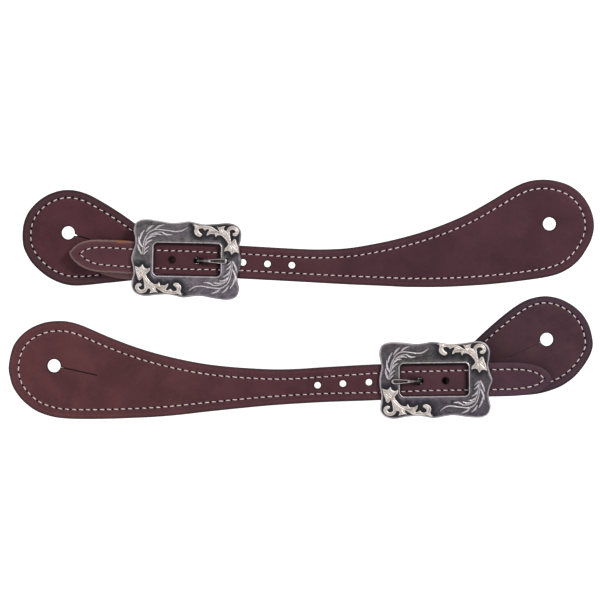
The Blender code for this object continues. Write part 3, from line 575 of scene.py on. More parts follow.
def open_edges(faces):
    """Directed edges that only one face uses."""
    ends = np.stack([faces, np.roll(faces, -1, axis=1)], axis=-1)
    edges = dict.fromkeys(map(tuple, ends.transpose(1, 0, 2).reshape(-1, 2).tolist()))
    return [(a, b) for a, b in edges if (b, a) not in edges]


def without_unused(vertices, faces):
    used, index = np.unique(faces, return_inverse=True)
    return vertices[used], index.reshape(faces.shape)


# ---- Materials -------------------------------------------------------------------------------
def scaled(colour, by):
    return tuple(min(1.0, channel * by) for channel in colour)


class Paint:
    """A material's nodes. Textures are laid in object millimetres."""

    def __init__(self, name):
        self.material = bpy.data.materials.new(name)
        self.material.use_nodes = True
        self.tree = self.material.node_tree
        self.shader = self.tree.nodes["Principled BSDF"]
        self.mm = self.node("ShaderNodeTexCoord").outputs["Object"]
        self.mm = self.mapping(Scale=(1000, 1000, 1000))

    def put(self, socket, value):
        """Links a socket, or sets a plain value; None leaves the socket alone."""
        if hasattr(value, "links"):
            self.tree.links.new(value, socket)
        elif value is not None:
            socket.default_value = (*value, 1.0) if socket.type == "RGBA" else value

    def node(self, kind, inputs=None, **settings):
        node = self.tree.nodes.new(kind)
        for key, value in settings.items():
            setattr(node, key, value)
        for key, value in (inputs or {}).items():
            self.put(node.inputs[key], value)
        return node

    def mapping(self, vector_type="POINT", **inputs):
        inputs["Vector"] = self.mm
        node = self.node("ShaderNodeMapping", inputs, vector_type=vector_type)
        return node.outputs["Vector"]

    def axes(self, vector):
        return self.node("ShaderNodeSeparateXYZ", {"Vector": vector}).outputs

    def noise(self, scale, detail=4.0, roughness=0.55, vector=None, distortion=0.0):
        inputs = {"Vector": vector or self.mm, "Scale": scale, "Detail": detail}
        inputs |= {"Roughness": roughness, "Distortion": distortion}
        return self.node("ShaderNodeTexNoise", inputs).outputs["Fac"]

    def cells(self, scale, feature="DISTANCE_TO_EDGE"):
        inputs = {"Vector": self.mm, "Scale": scale}
        return self.node("ShaderNodeTexVoronoi", inputs, feature=feature).outputs["Distance"]

    def attribute(self, name):
        return self.node("ShaderNodeAttribute", attribute_name=name).outputs["Fac"]

    def ramp(self, value, span, to=(0.0, 1.0)):
        """Smooth step from to[0] to to[1] as the value crosses the span."""
        inputs = {"Value": value, "From Min": span[0], "From Max": span[1]}
        inputs |= {"To Min": to[0], "To Max": to[1]}
        node = self.node("ShaderNodeMapRange", inputs, interpolation_type="SMOOTHSTEP")
        return node.outputs["Result"]

    def mottle(self, span, to=(0.0, 1.0), **noise):
        return self.ramp(self.noise(**noise), span, to)

    def math(self, operation, first, second=None, clamp=False):
        inputs = {0: first, 1: second}
        node = self.node("ShaderNodeMath", inputs, operation=operation, use_clamp=clamp)
        return node.outputs[0]

    def times(self, first, second):
        return self.math("MULTIPLY", first, second)

    def coat(self, under, mask, over, strength=None, blend="MIX"):
        """One colour laid over another where the mask is 1, weakened by the strength."""
        if strength is not None:
            mask = self.times(mask, strength)
        node = self.node("ShaderNodeMix", {"Factor": mask}, data_type="RGBA", blend_type=blend)
        colours = [socket for socket in node.inputs if socket.type == "RGBA"]
        self.put(colours[0], under)
        self.put(colours[1], over)
        return next(socket for socket in node.outputs if socket.type == "RGBA")

    def mottled(self, colour, layers):
        """Blotches over a colour. Layers: scale, detail, roughness, vector, span, strength, tint."""
        for scale, detail, roughness, vector, span, strength, tint in layers:
            mask = self.mottle(span, scale=scale, detail=detail, roughness=roughness, vector=vector)
            colour = self.coat(colour, mask, tint, strength)
        return colour

    def bumps(self, *layers):
        """A normal from layers of height, strength and distance in metres."""
        normal = None
        for height, strength, depth in layers:
            inputs = {"Height": height, "Strength": strength, "Distance": depth, "Normal": normal}
            normal = self.node("ShaderNodeBump", inputs).outputs["Normal"]
        return normal

    def surface(self, colour, roughness, metallic=0.0, normal=None, specular=None):
        values = {"Base Color": colour, "Roughness": roughness, "Metallic": metallic}
        values |= {"Normal": normal, "Specular IOR Level": specular}
        for key, value in values.items():
            self.put(self.shader.inputs[key], value)
        return self.material


def frame_shadow_mask(paint, centre, half, turn):
    """1 under the buckle frame and in its painted shadow just inside the opening, 0 in the open."""
    moved = paint.mapping("TEXTURE", Location=(*centre, 0.0), Rotation=(0.0, 0.0, turn))
    axes = paint.axes(moved)
    x, y = axes["X"], axes["Y"]
    near = paint.ramp(x, span=(half[0] - 3.4, half[0] - 0.6))
    for axis, span in (
        (x, (-half[0] + 1.9, -half[0] - 0.2)),
        (y, (half[1] - 2.1, half[1] - 0.1)),
        (y, (-half[1] + 1.4, -half[1] - 0.2)),
    ):
        near = paint.math("MAXIMUM", near, paint.ramp(axis, span))
    # it ends with the frame
    near = paint.times(near, paint.ramp(x, span=(31.0, 29.0)))
    return paint.times(near, paint.ramp(x, span=(-31.0, -29.0)))


def leather_material(
    name, dark, light, warm, edge, seed, band=(1.3, 0.3, 0.65), border=0.35, tints=(), frame_shadow_at=None
):
    """Oiled harness leather.

    band is where the dark edge starts and is full, and its strength; border is the strength of the
    border that rubbing has made paler; tints are (from world x, to world x, colour); frame_shadow_at
    is the buckle opening's centre, half size and turn, round which the frame's shadow is painted.
    """
    paint = Paint(name)
    base = paint.mapping(Location=(seed * 37.0, seed * 11.0, 0.0))
    broad = paint.mottle(
        span=(0.28, 0.74), scale=0.045, detail=5.0, roughness=0.6, vector=base, distortion=0.4
    )
    fibre = paint.mapping(Scale=(0.35, 2.2, 1.0))
    colour = paint.mottled(paint.coat(dark, broad, light), [
        (0.16, 6.0, 0.65, base, (0.48, 0.75), 0.4, warm),
        (1.3, 5.0, 0.7, base, (0.35, 0.75), 0.25, scaled(dark, 0.5)),
        (0.9, 3.0, 0.6, fibre, (0.55, 0.8), 0.12, scaled(light, 1.7)),
    ])
    pores = paint.ramp(paint.cells(scale=1.15, feature="F1"), span=(0.0, 0.22))
    pores = paint.math("SUBTRACT", 1.0, pores)
    colour = paint.coat(colour, pores, scaled(dark, 0.4), strength=0.35)
    # burnished edge: dark at the very edge, then a border paler from rubbing out to the seam
    waver = paint.math("SUBTRACT", paint.noise(scale=0.5, detail=3.0), 0.5)
    at_edge = paint.math("ADD", paint.attribute("edge"), paint.times(waver, 1.0))
    outside_seam = paint.ramp(at_edge, span=(5.4, 3.6))
    rubbed_to = scaled(light, 1.25) if border < 0.5 else scaled(edge, 2.1)
    patchy = paint.mottle(span=(0.35, 0.7), scale=0.8, detail=5.0, roughness=0.7)
    border_colour = paint.coat(scaled(edge, 1.45), patchy, rubbed_to)
    colour = paint.coat(colour, outside_seam, border_colour, strength=border)
    colour = paint.coat(colour, paint.ramp(at_edge, span=band[:2]), edge, strength=band[2])
    shoulder = paint.ramp(at_edge, span=(1.3, 1.9))
    pale_edge_band = paint.times(shoulder, paint.ramp(at_edge, span=(3.0, 2.0)))
    colour = paint.coat(colour, pale_edge_band, scaled(light, 1.5), strength=0.25)
    # painted highlight just in from the rounded edge, and scuffs
    rim = paint.ramp(at_edge, span=(0.0, 0.5))
    rim = paint.times(rim, paint.ramp(at_edge, span=(1.5, 0.8)))
    rim = paint.times(paint.attribute("rub"), rim)
    colour = paint.coat(colour, rim, (0.27, 0.16, 0.155), strength=0.4)
    patchy = paint.mottle(span=(0.3, 0.6), scale=0.7, detail=5.0, roughness=0.7)
    scuffed = paint.times(paint.attribute("scuff"), patchy)
    colour = paint.coat(colour, scuffed, (0.2, 0.065, 0.03))
    if tints:
        x = paint.axes(paint.mm)["X"]
        for low, high, tint in tints:
            colour = paint.coat(colour, paint.ramp(x, (low, high)), tint, blend="MULTIPLY")
    # painted shade under the buckle frame and painted shadow just inside its opening, widest at one
    # end
    if frame_shadow_at:
        frame_shadow = frame_shadow_mask(paint, *frame_shadow_at)
        colour = paint.coat(colour, frame_shadow, (0.12, 0.1, 0.11), strength=0.8, blend="MULTIPLY")
    # painted shade under the tongue, where the leather is dented too, along the slit,
    # round the holes and in the needle pits
    colour = paint.coat(colour, paint.attribute("worn"), scaled(dark, 0.22), strength=0.85)
    crease = paint.ramp(paint.attribute("crease"), span=(0.15, 0.5))
    colour = paint.coat(colour, crease, scaled(dark, 0.12))
    round_hole = paint.ramp(paint.attribute("hole"), span=(1.3, 0.3))
    colour = paint.coat(colour, round_hole, scaled(dark, 0.5), strength=0.45)
    colour = paint.coat(colour, paint.attribute("pit"), (0.006, 0.002, 0.003))
    at_hole = paint.ramp(paint.attribute("hole"), span=(0.85, 0.05))
    colour = paint.coat(colour, at_hole, scaled(dark, 0.3))
    roughness = paint.mottle(
        span=(0.25, 0.8), to=(0.5, 0.68), scale=0.6, detail=4.0, roughness=0.6, vector=base
    )
    normal = paint.bumps(
        (paint.cells(scale=1.5), 0.35, 0.00009),
        (paint.noise(scale=2.6, detail=5.0, roughness=0.65), 0.45, 0.00008),
        (paint.noise(scale=0.22, detail=3.0, roughness=0.5, vector=base), 0.35, 0.0005),
    )
    return paint.surface(colour, roughness, normal=normal, specular=0.16)


def flesh_material(name, dark, light):
    """The napped flesh side of the lining."""
    paint = Paint(name)
    broad = paint.mottle(span=(0.3, 0.7), scale=0.09, detail=6.0, roughness=0.65)
    colour = paint.coat(dark, broad, light)
    fibre = paint.mapping(Scale=(0.6, 1.4, 1.0))
    nap = paint.noise(scale=1.1, detail=6.0, roughness=0.75, vector=fibre)
    raised = paint.ramp(nap, span=(0.45, 0.75))
    colour = paint.coat(colour, raised, scaled(light, 1.7), strength=0.35)
    at_edge = paint.ramp(paint.attribute("edge"), span=(1.2, 0.2))
    colour = paint.coat(colour, at_edge, (0.018, 0.009, 0.01))
    # painted shade along the slit, in the needle pits and at the holes
    crease = paint.ramp(paint.attribute("crease"), span=(0.15, 0.5))
    colour = paint.coat(colour, crease, scaled(dark, 0.2))
    colour = paint.coat(colour, paint.attribute("pit"), (0.006, 0.003, 0.003))
    at_hole = paint.ramp(paint.attribute("hole"), span=(0.8, 0.05))
    colour = paint.coat(colour, at_hole, scaled(dark, 0.3))
    normal = paint.bumps((nap, 0.6, 0.00012), (paint.cells(scale=0.9), 0.2, 0.0001))
    roughness = paint.ramp(nap, span=(0.3, 0.7), to=(0.72, 0.9))
    return paint.surface(colour, roughness, normal=normal, specular=0.12)


def thread_material(name):
    """Twisted waxed thread: pale plies, with painted shade between them and where it goes in."""
    pale, shade = (0.72, 0.62, 0.61), (0.4, 0.3, 0.3)
    paint = Paint(name)
    turn = paint.math("FRACT", paint.attribute("twist"))
    ply = paint.math("ABSOLUTE", paint.math("SUBTRACT", paint.times(turn, 2.0), 1.0))
    colour = paint.coat(shade, paint.ramp(ply, span=(0.0, 0.5)), pale)
    soiled = paint.mottle(span=(0.4, 0.7), scale=0.25)
    colour = paint.coat(colour, soiled, scaled(pale, 0.62), strength=0.5)
    colour = paint.coat(colour, paint.attribute("ends"), scaled(shade, 0.25))
    fuzz = paint.noise(scale=9.0, detail=3.0, roughness=0.6)
    normal = paint.bumps((ply, 0.7, 0.00012), (fuzz, 0.4, 0.00003))
    return paint.surface(colour, roughness=0.62, normal=normal, specular=0.25)


def frame_material(name, level, cast_span, cast):
    """Antiqued nickel: dark oxidised hollows, paler metal where cuts and edges show rubbing.
    The outer rim also holds a painted highlight, and painted shade on one half of it.

    level scales the whole; the cast colours it as world y crosses cast_span.
    """
    paint = Paint(name)
    cloud = paint.mottle(span=(0.3, 0.7), scale=0.3, detail=6.0, roughness=0.7)
    squat = paint.mapping(Scale=(1.0, 1.0, 0.7))
    brushed = paint.mapping(Scale=(0.25, 3.0, 1.0))
    colour = paint.coat((0.05, 0.045, 0.048), cloud, (0.19, 0.175, 0.18))
    colour = paint.mottled(colour, [
        (0.1, 4.0, 0.6, None, (0.42, 0.62), 0.55, (0.15, 0.12, 0.155)),
        (1.6, 6.0, 0.78, None, (0.5, 0.72), 0.75, (0.38, 0.355, 0.365)),
        (2.1, 5.0, 0.75, squat, (0.52, 0.72), 0.75, (0.03, 0.027, 0.03)),
        (2.2, 4.0, 0.7, brushed, (0.5, 0.78), 0.25, (0.3, 0.285, 0.28)),
    ])
    colour = paint.coat(colour, 1.0, (level, level, level), blend="MULTIPLY")
    at_cast = paint.ramp(paint.axes(paint.mm)["Y"], cast_span)
    colour = paint.coat(colour, at_cast, cast, blend="MULTIPLY")
    # dark oxidised metal, and painted shade on one half of the outer edge
    patchy = paint.mottle(span=(0.25, 0.6), to=(0.75, 1.0), scale=0.8, detail=5.0, roughness=0.7)
    black = paint.times(paint.attribute("oxide"), patchy)
    colour = paint.coat(colour, black, (0.028, 0.028, 0.035))
    # bright metal: cuts and rims worn bright, and a painted highlight on the outer rim
    patchy = paint.mottle(span=(0.25, 0.6), to=(0.7, 1.0), scale=1.4, detail=4.0, roughness=0.6)
    bright = paint.times(paint.attribute("bright"), patchy)
    colour = paint.coat(colour, bright, (0.82, 0.76, 0.78))
    rough = paint.mottle(span=(0.25, 0.75), to=(0.38, 0.6), scale=0.8, detail=5.0, roughness=0.65)
    polish = paint.times(paint.attribute("bright"), 0.1)
    rough = paint.math("SUBTRACT", rough, polish, clamp=True)
    normal = paint.bumps(
        (paint.noise(scale=1.3, detail=6.0, roughness=0.75), 0.5, 0.00014),
        (paint.noise(scale=5.0, detail=4.0, roughness=0.7), 0.4, 0.00004),
    )
    return paint.surface(colour, rough, metallic=0.9, normal=normal)


def silver_material(name):
    paint = Paint(name)
    cloud = paint.mottle(span=(0.35, 0.68), scale=0.35, detail=5.0, roughness=0.6)
    hatched = paint.mapping(Scale=(0.7, 2.4, 1.0))
    colour = paint.mottled(paint.coat((0.62, 0.56, 0.53), cloud, (0.8, 0.74, 0.71)), [
        (0.5, 5.0, 0.65, None, (0.45, 0.7), 0.55, (0.6, 0.48, 0.43)),
        (1.8, 6.0, 0.75, None, (0.52, 0.75), 0.35, (0.4, 0.34, 0.32)),
        (1.5, 2.0, 0.5, hatched, (0.5, 0.66), 0.3, (0.42, 0.31, 0.24)),
    ])
    colour = paint.coat(colour, paint.attribute("vein"), (0.15, 0.12, 0.11), strength=0.85)
    rough = paint.mottle(span=(0.25, 0.75), to=(0.36, 0.56), scale=1.1, detail=4.0, roughness=0.6)
    normal = paint.bumps((paint.noise(scale=1.8, detail=5.0, roughness=0.7), 0.4, 0.00009))
    return paint.surface(colour, rough, metallic=0.75, normal=normal)


def tongue_material(name):
    paint = Paint(name)
    cloud = paint.mottle(span=(0.3, 0.7), scale=0.6, detail=5.0, roughness=0.65)
    colour = paint.coat((0.06, 0.05, 0.05), cloud, (0.15, 0.13, 0.13))
    # painted highlight, then oxidised metal with painted shade, as the tongue's attributes give them
    colour = paint.coat(colour, paint.attribute("bright"), (0.55, 0.5, 0.5))
    colour = paint.coat(colour, paint.attribute("oxide"), (0.016, 0.013, 0.015))
    drawn = paint.mapping(Scale=(0.3, 4.0, 1.0))
    streak = paint.noise(scale=1.5, detail=4.0, roughness=0.7, vector=drawn)
    rough = paint.ramp(streak, span=(0.3, 0.7), to=(0.34, 0.52))
    normal = paint.bumps((streak, 0.3, 0.00005))
    return paint.surface(colour, rough, metallic=0.9, normal=normal)


# ---- Leather sheets --------------------------------------------------------------------------
def disc(x, y, radius, sides, phase=0.0):
    angle = np.arange(sides) * 2 * math.pi / sides + phase
    return np.c_[x + radius * np.cos(angle), y + radius * np.sin(angle)]


def squarish(half_x, half_y, sides, power):
    """A ring between an ellipse and a rectangle, about the origin."""
    angle = (np.arange(sides) + 0.5) * 2 * math.pi / sides
    x = half_x * np.sign(np.cos(angle)) * np.abs(np.cos(angle)) ** power
    y = half_y * np.sign(np.sin(angle)) * np.abs(np.sin(angle)) ** power
    return np.c_[x, y]


def keyhole(centre, slit_end, lean=0.0, notched=True, sides=40):
    """A button hole with its slit as one outline: a short notch at the hole, then a hairline."""
    if slit_end is None:
        return disc(*centre, BUTTON_R, sides)
    centre, end = np.array(centre), np.array(slit_end)
    run = np.linalg.norm(end - centre)
    heading = unit(end - centre)
    side = np.array([-heading[1], heading[0]])
    wide = NOTCH_W if notched else 0.3
    at = math.atan2(heading[1], heading[0])
    half = math.asin(wide / 2 / BUTTON_R)
    angle = np.linspace(at + half, at + 2 * math.pi - half, sides)
    ring = np.c_[centre[0] + BUTTON_R * np.cos(angle), centre[1] + BUTTON_R * np.sin(angle)]
    hairline = np.arange(BUTTON_R + NOTCH_L + 1.2, run - 0.6, 1.2)
    marks = np.r_[BUTTON_R + NOTCH_L * 0.5, BUTTON_R + NOTCH_L, hairline]
    widths = np.r_[wide * 0.27, np.full(len(marks) - 1, SLIT_W / 2)]
    # the two plies' cuts part a little beyond the notch
    parted = np.outer(clip01((marks - BUTTON_R - NOTCH_L * 0.5) / 1.5), side * lean)
    middle = centre + np.outer(marks, heading)
    out = middle - np.outer(widths, side) + parted
    back = middle + np.outer(widths, side) + parted
    return np.vstack([ring, out, [end + side * lean], back[::-1]])


def slit_line(centre, radius, slit_end):
    """The slit's centre line from half a millimetre beyond the radius."""
    if slit_end is None:
        return None
    centre, end = np.array(centre), np.array(slit_end)
    return np.array([centre + unit(end - centre) * (radius + 0.5), end])


def sheet(ring, holes, seam, pits, slit, spacing=3.4):
    """A triangulated sheet, with points packed where the surface bends."""
    outline = resample(ring, 0.85, True)
    extra = [resample(moved_in(outline, by), 1.2, True) for by in (0.14, 0.38, 0.75, 1.25, 2.3)]
    line, closed = seam
    beside = side_normals(line, closed)
    extra += [resample(line + beside * by, 1.05, closed) for by in (-1.0, -0.55, 0.0, 0.55, 1.0)]
    for hole in holes:
        centre = hole.mean(0)
        normal = side_normals(hole, True)
        if ((hole + normal - centre) ** 2).sum() < ((hole - normal - centre) ** 2).sum():
            normal = -normal
        extra += [hole + normal * by for by in (0.16, 0.42, 0.9)]
    if slit is not None:
        heading = unit(slit[1] - slit[0])
        side = np.array([-heading[1], heading[0]])
        run = np.linalg.norm(slit[1] - slit[0])
        marks = slit[0] + np.outer(np.arange(0, run + 0.8, 0.8), heading)
        extra += [marks + side * by for by in (-0.9, -0.5, -0.25, 0.25, 0.5, 0.9)]
    low, high = outline.min(0), outline.max(0)
    columns, rows = (np.arange(low[k], high[k], spacing * (1, 0.87)[k]) for k in (0, 1))
    grid_x, grid_y = np.meshgrid(columns, rows)
    grid_x[1::2] += spacing / 2
    extra = np.vstack([*extra, np.c_[grid_x.ravel(), grid_y.ravel()]])

    # keep what lies in the leather, off the cut edges and the needle pits
    keep = inside(extra, outline)
    for hole in holes:
        keep &= ~inside(extra, hole)
    extra = extra[keep]
    keep = distance(extra, outline, True) > 0.1
    for hole in holes:
        keep &= distance(extra, hole, True) > 0.1
    extra = extra[keep]
    extra = extra[nearest_spot(extra, pits) > 0.74]
    pit_walls = [disc(x, y, 0.42, 8, 0.4) for x, y in pits]
    pit_rims = [disc(x, y, 0.6, 10) for x, y in pits]
    # thin out points that crowd each other
    first = {}
    for i, (x, y) in enumerate(extra):
        first.setdefault((x // 0.22, y // 0.22), i)
    extra = extra[list(first.values())]

    points = np.vstack([outline, *holes, extra, pits, *pit_walls, *pit_rims]).tolist()
    edges, start = [], 0
    for loop in (outline, *holes):
        edges += [(start + i, start + (i + 1) % len(loop)) for i in range(len(loop))]
        start += len(loop)
    result = geometry.delaunay_2d_cdt([Vector(point) for point in points], edges, [], 0, 1e-5)
    vertices = np.array([(point.x, point.y) for point in result[0]])
    faces = np.array([tuple(face) for face in result[2]])
    centre = vertices[faces].mean(1)
    good = inside(centre, outline)
    for hole in holes:
        good &= ~inside(centre, hole)
    start, second, third = (vertices[faces[:, k]] for k in range(3))
    to_second, to_third = second - start, third - start
    area = to_second[:, 0] * to_third[:, 1] - to_second[:, 1] * to_third[:, 0]
    good &= np.abs(area) > 1e-7
    faces = np.where(area[:, None] < 0, faces[:, ::-1], faces)[good]
    return *without_unused(vertices, faces), outline


def rounded(depth, radius):
    """How far a rounded edge drops at this distance in from the edge."""
    depth = np.clip(depth, 0, radius)
    return radius - np.sqrt(np.maximum(radius * radius - (radius - depth) ** 2, 0))


def leather_piece(
    name, strap, ring, holes, circles, seam, pits, surface, material, outer, slit,
    seed=0, opened=1.0, pit_r=0.54, worn=zero, rub=zero, scuff=zero,
):
    """The outer ply or the lining, with rounded edges, a sunk seam and needle pits.

    circles are (x, y, radius) of the round holes; worn, rub and scuff give
    marks at each point: a dent painted darker as shade under the tongue, a painted highlight on the
    edge, and scuffs.
    """
    points, triangles, outline = sheet(ring, holes, seam, pits, slit)
    count = len(points)
    edge = distance(points, outline, True)
    hole = np.full(count, 50.0)
    for x, y, radius in circles:
        hole = np.minimum(hole, np.abs(np.linalg.norm(points - (x, y), axis=1) - radius))
    crease = np.zeros(count)
    if slit is not None:
        crease = opened * clip01(1 - distance(points, slit, False) / 0.5)
    tongue_dent_and_shade = worn(points)
    sink = 0.2 * bell(distance(points, *seam), 0, 0.75)
    pit = clip01((pit_r - nearest_spot(points, pits)) / 0.16)
    base = surface(points[:, 0])
    none = np.zeros(count)
    if outer:
        base = base + LINING + GLUE
        wave = 0.05 * unevenness(points[:, 0], points[:, 1], 0.12, seed) * clip01(edge / 3)
        top = base + OUTER - rounded(edge, 0.95) - 0.6 * rounded(hole, 0.4) - sink - 0.6 * pit
        top += wave - 0.3 * crease - 0.3 * tongue_dent_and_shade - 0.05
        low = base + rounded(edge, 0.06) + 0.3 * rounded(hole, 0.2)
        pit_mark = np.r_[pit, none]
    else:
        top = base + LINING - rounded(edge, 0.06)
        low = base + rounded(edge, 0.5) + 0.5 * rounded(hole, 0.3) + sink + 0.4 * pit
        pit_mark = np.r_[none, pit]
    vertices = np.vstack([np.c_[points, top], np.c_[points, low]])
    faces = [tuple(face) for face in triangles]
    faces += [tuple(count + face[::-1]) for face in triangles]
    faces += [(a, count + a, count + b, b) for a, b in open_edges(triangles)]
    attributes = {
        "edge": np.tile(edge, 2),
        "hole": np.tile(hole, 2),
        "pit": pit_mark,
        "crease": np.tile(crease, 2),
        "worn": np.r_[tongue_dent_and_shade, none],
        "rub": np.tile(rub(points), 2),
        "scuff": np.tile(scuff(points), 2),
    }
    return mesh_object(name, strap.place(vertices), faces, material, attributes, sharp=50)


def stitches(
    name, strap, spots, closed, surface, lift, facing, material, seed,
    width=0.33, proud=0.2, inset=0.4,
):
    """One rounded, slightly slanting stitch between each pair of needle pits.

    The stitches lie `lift` above the surface and face up (1) or down (-1).
    """
    rng = np.random.default_rng(seed)
    sections, around = 11, 10
    share = np.linspace(0, 1, sections)
    fat = np.maximum(np.sin(np.pi * share) ** 0.42, 0.12)
    angle = 2 * math.pi * np.arange(around) / around
    tube = tube_sides(sections, around, False)
    tube.append(tuple(reversed(range(around))))
    tube.append(tuple((sections - 1) * around + j for j in range(around)))
    vertices, faces = [], []
    for i in range(len(spots) if closed else len(spots) - 1):
        start_spot, end_spot = spots[i], spots[(i + 1) % len(spots)]
        run = np.linalg.norm(end_spot - start_spot)
        if run < 1.5:
            continue
        heading = (end_spot - start_spot) / run
        across = np.array([-heading[1], heading[0]])
        slant = math.radians(rng.normal(5.0, 2.2))
        half = width * rng.uniform(0.92, 1.08)
        if closed:
            half *= np.interp(start_spot[0], (60.0, 160.0), (0.84, 1.0))
        start = inset + rng.uniform(-0.08, 0.08)
        stop = run - inset + rng.uniform(-0.08, 0.08)
        along = start + (stop - start) * share
        lean = (along - run / 2) * math.tan(slant)
        middle = start_spot + np.outer(along, heading) + np.outer(lean, across)
        rise = -0.02 + proud * (fat - 0.25) - 0.5 * (1 - fat) ** 1.5
        z = surface(middle[:, 0]) + lift + facing * rise
        sideways = np.outer(fat, np.cos(angle) * half)
        upwards = np.outer(fat, np.sin(angle) * half * 0.62)
        plan = middle[:, None] + sideways[:, :, None] * across
        height = z[:, None] + facing * (upwards - 0.12)
        base = len(vertices) * sections * around
        faces += [tuple(base + k for k in face) for face in tube]
        vertices.append(np.dstack([plan, height]).reshape(-1, 3))
    twist = (3.2 * share[:, None] + np.arange(around) / around).ravel()
    ends = np.maximum(0, 1 - np.minimum(share, 1 - share) / 0.11) * 0.9
    attributes = {
        "twist": np.tile(twist, len(vertices)),
        "ends": np.tile(np.repeat(ends, around), len(vertices)),
    }
    return mesh_object(name, strap.place(np.vstack(vertices)), faces, material, attributes)


# ---- Buckle ----------------------------------------------------------------------------------
def stroke_line(points, widths, per):
    """A stroke's smooth line and the half width at each of its points."""
    line = spline(points, per=per)
    stations = np.linspace(0, len(widths) - 1, len(line))
    return line, np.interp(stations, np.arange(len(widths)), widths)


def spray_distance(points, fit, sign=1):
    """Distance to the strokes of a spray after its own shift, within 3 mm of each."""
    (shift_x, x_by_x, x_by_y), (shift_y, y_by_x, y_by_y) = fit
    best = np.full(len(points), 1e9)
    for drawn, widths in SPRAY:
        shifted = [
            (x + shift_x + x_by_x * x + x_by_y * y, y + shift_y + y_by_x * x + y_by_y * y)
            for x, y in drawn
        ]
        bold = [width * SPRAY_BOLDER for width in widths]
        line, line_widths = stroke_line(np.array(shifted) * sign, bold, per=6)
        near = ((points > line.min(0) - 3.0) & (points < line.max(0) + 3.0)).all(1)
        if near.any():
            measured = distance(points[near], line, False, line_widths)
            best[near] = np.minimum(best[near], measured)
    return best


def as_drawn(points, fit):
    """Points on the face as points on the scroll as drawn."""
    return (np.asarray(points) - fit[:2] - FLOWER_EDGE) / (fit[2], 1.0) + FLOWER_EDGE


def vein_distance(points):
    lines = [spline(line, per=6) for line in VEINS]
    return np.minimum.reduce([distance(points, line, False) for line in lines])


def scroll_distance(points, fit):
    """Signed distance to the silver scroll's outline, negative inside."""
    points = as_drawn(points, fit)
    best = np.full(len(points), 1e9)
    line, widths = stroke_line(*SCROLL_RING, per=8)
    box = (points > (1.0, 0.0)).all(1) & (points < (33.0, 24.0)).all(1)
    near = points[box]
    nearest = distance(near, line, False, widths)
    for outline in SCROLL_OUTLINES:
        ring = spline(outline, closed=True, per=6)
        to_ring = distance(near, ring, True)
        nearest = np.minimum(nearest, np.where(inside(near, ring), -to_ring, to_ring))
    best[box] = nearest
    return best


def on_opening(points, strap):
    """The nearest points on the edge of the frame's rounded opening."""
    reach = np.array([strap.shape["open_x"] - OPEN_R, OPEN_Y - OPEN_R])
    points = points - strap.opening
    core = np.clip(points, -reach, reach)
    away = points - core
    away /= np.maximum(np.linalg.norm(away, axis=1), 1e-9)[:, None]
    return core + away * OPEN_R + strap.opening


def face_height(inner, outer):
    """The frame's domed face at these distances from the opening and from the scalloped edge."""
    across = inner / np.maximum(inner + outer, 1e-6)
    dome = FACE_Z - 0.12 + 0.3 * np.sin(np.pi * clip01(across)) ** 0.8
    lip = 0.95 * clip01(1 - outer / 1.7) ** 2.2
    bead = 0.16 * bell(inner, 0.42, 0.26)
    fall = 0.55 * clip01(1 - inner / 0.3) ** 2 + 0.28 * bell(inner, 1.15, 0.45)
    return dome - lip + bead - fall


# Rows across the frame's face: distances from the opening, even steps, distances from the edge.
ROWS_IN = np.array([0.0, 0.07, 0.16, 0.28, 0.42, 0.56, 0.72, 0.95, 1.2, 1.5])
ROWS_OUT = np.array([1.7, 1.35, 1.0, 0.7, 0.45, 0.24, 0.1, 0.0])
MIDDLE_STEPS = 30

# Sections of the posts that carry the bar: z, half length along the strap, inner y, outer y.
POST_SECTIONS = [
    (1.25, 1.1, 10.15, 12.3), (1.9, 1.5, 10.06, 12.5), (4.0, 1.6, 10.05, 12.6),
    (6.5, 1.7, 10.05, 12.7), (8.2, 2.2, 10.05, 13.2), (9.3, 2.6, 10.05, 13.6),
]


def frame_face(strap, points, to_in, to_out):
    """Height, bright metal with painted highlight, and dark oxidised metal with painted shade at
    each point of the frame's face.
    """
    x, y = points.T
    upper, lower = SPRAY_SET[strap.side]
    spray = np.minimum(spray_distance(points, upper), spray_distance(points, lower, -1))
    cut = clip01(-spray / 0.16 + 0.4)
    z = face_height(to_in, to_out) - 0.2 * cut
    # a shallow blackened ground round the scrolls
    fits = SCROLL_SET[strap.side]
    scroll = np.minimum(
        scroll_distance(points, fits["top"]), scroll_distance(-points, fits["bottom"])
    )
    oxide = clip01(1.4 - scroll / 2.6) * clip01((to_in - 0.9) / 1.2)
    z = z - 0.1 * oxide
    # blacking left along each cut
    oxide = np.maximum(oxide, 0.5 * bell(np.maximum(spray, 0), 0, 0.55) * (1 - cut))
    # the notch the tongue lies in, on the end bar it points to
    local = (points + strap.face_off) * (strap.toward, 1)
    off_line = np.abs(local[:, 1] - strap.shape["tongue_y"])
    notch = clip01((1.78 - off_line) / 0.3)
    notch = notch * clip01((strap.shape["tip"] + 0.55 - local[:, 0]) / 0.4) * (local[:, 0] > 0)
    z = z - notch * np.clip(z - (FACE_Z - 1.05), 0, 9)
    oxide = np.maximum(oxide, 0.45 * clip01(notch * 1.5))
    z = z + 0.03 * unevenness(x, y, 0.9, 5)
    # painted shade where the edge rolls over, on the half at positive x
    oxide = np.maximum(oxide, 0.5 * bell(to_out, 0, 1.5) * clip01(x / 20))
    # bright rims: metal worn bright round the opening, and along the outer edge a painted highlight,
    # brighter on some sides of the frame than others
    if strap.side == "right":
        lean = 0.5 + 0.5 * np.clip(-x / 30 + 0.25 * y / 20, -1, 1)
    else:
        lean = 0.3 + 0.7 * np.abs(x / 32)
    rim_in = bell(to_in, 0.36, 0.3)
    rim_out = bell(to_out, 0.35, 0.36)
    rim_out = rim_out * clip01(0.25 + 0.75 * lean + 0.35 * unevenness(x, y, 0.25, 8))
    bright = clip01(np.maximum.reduce([cut, rim_in * 0.8, rim_out])) * (1 - 0.7 * notch)
    return z, bright, oxide


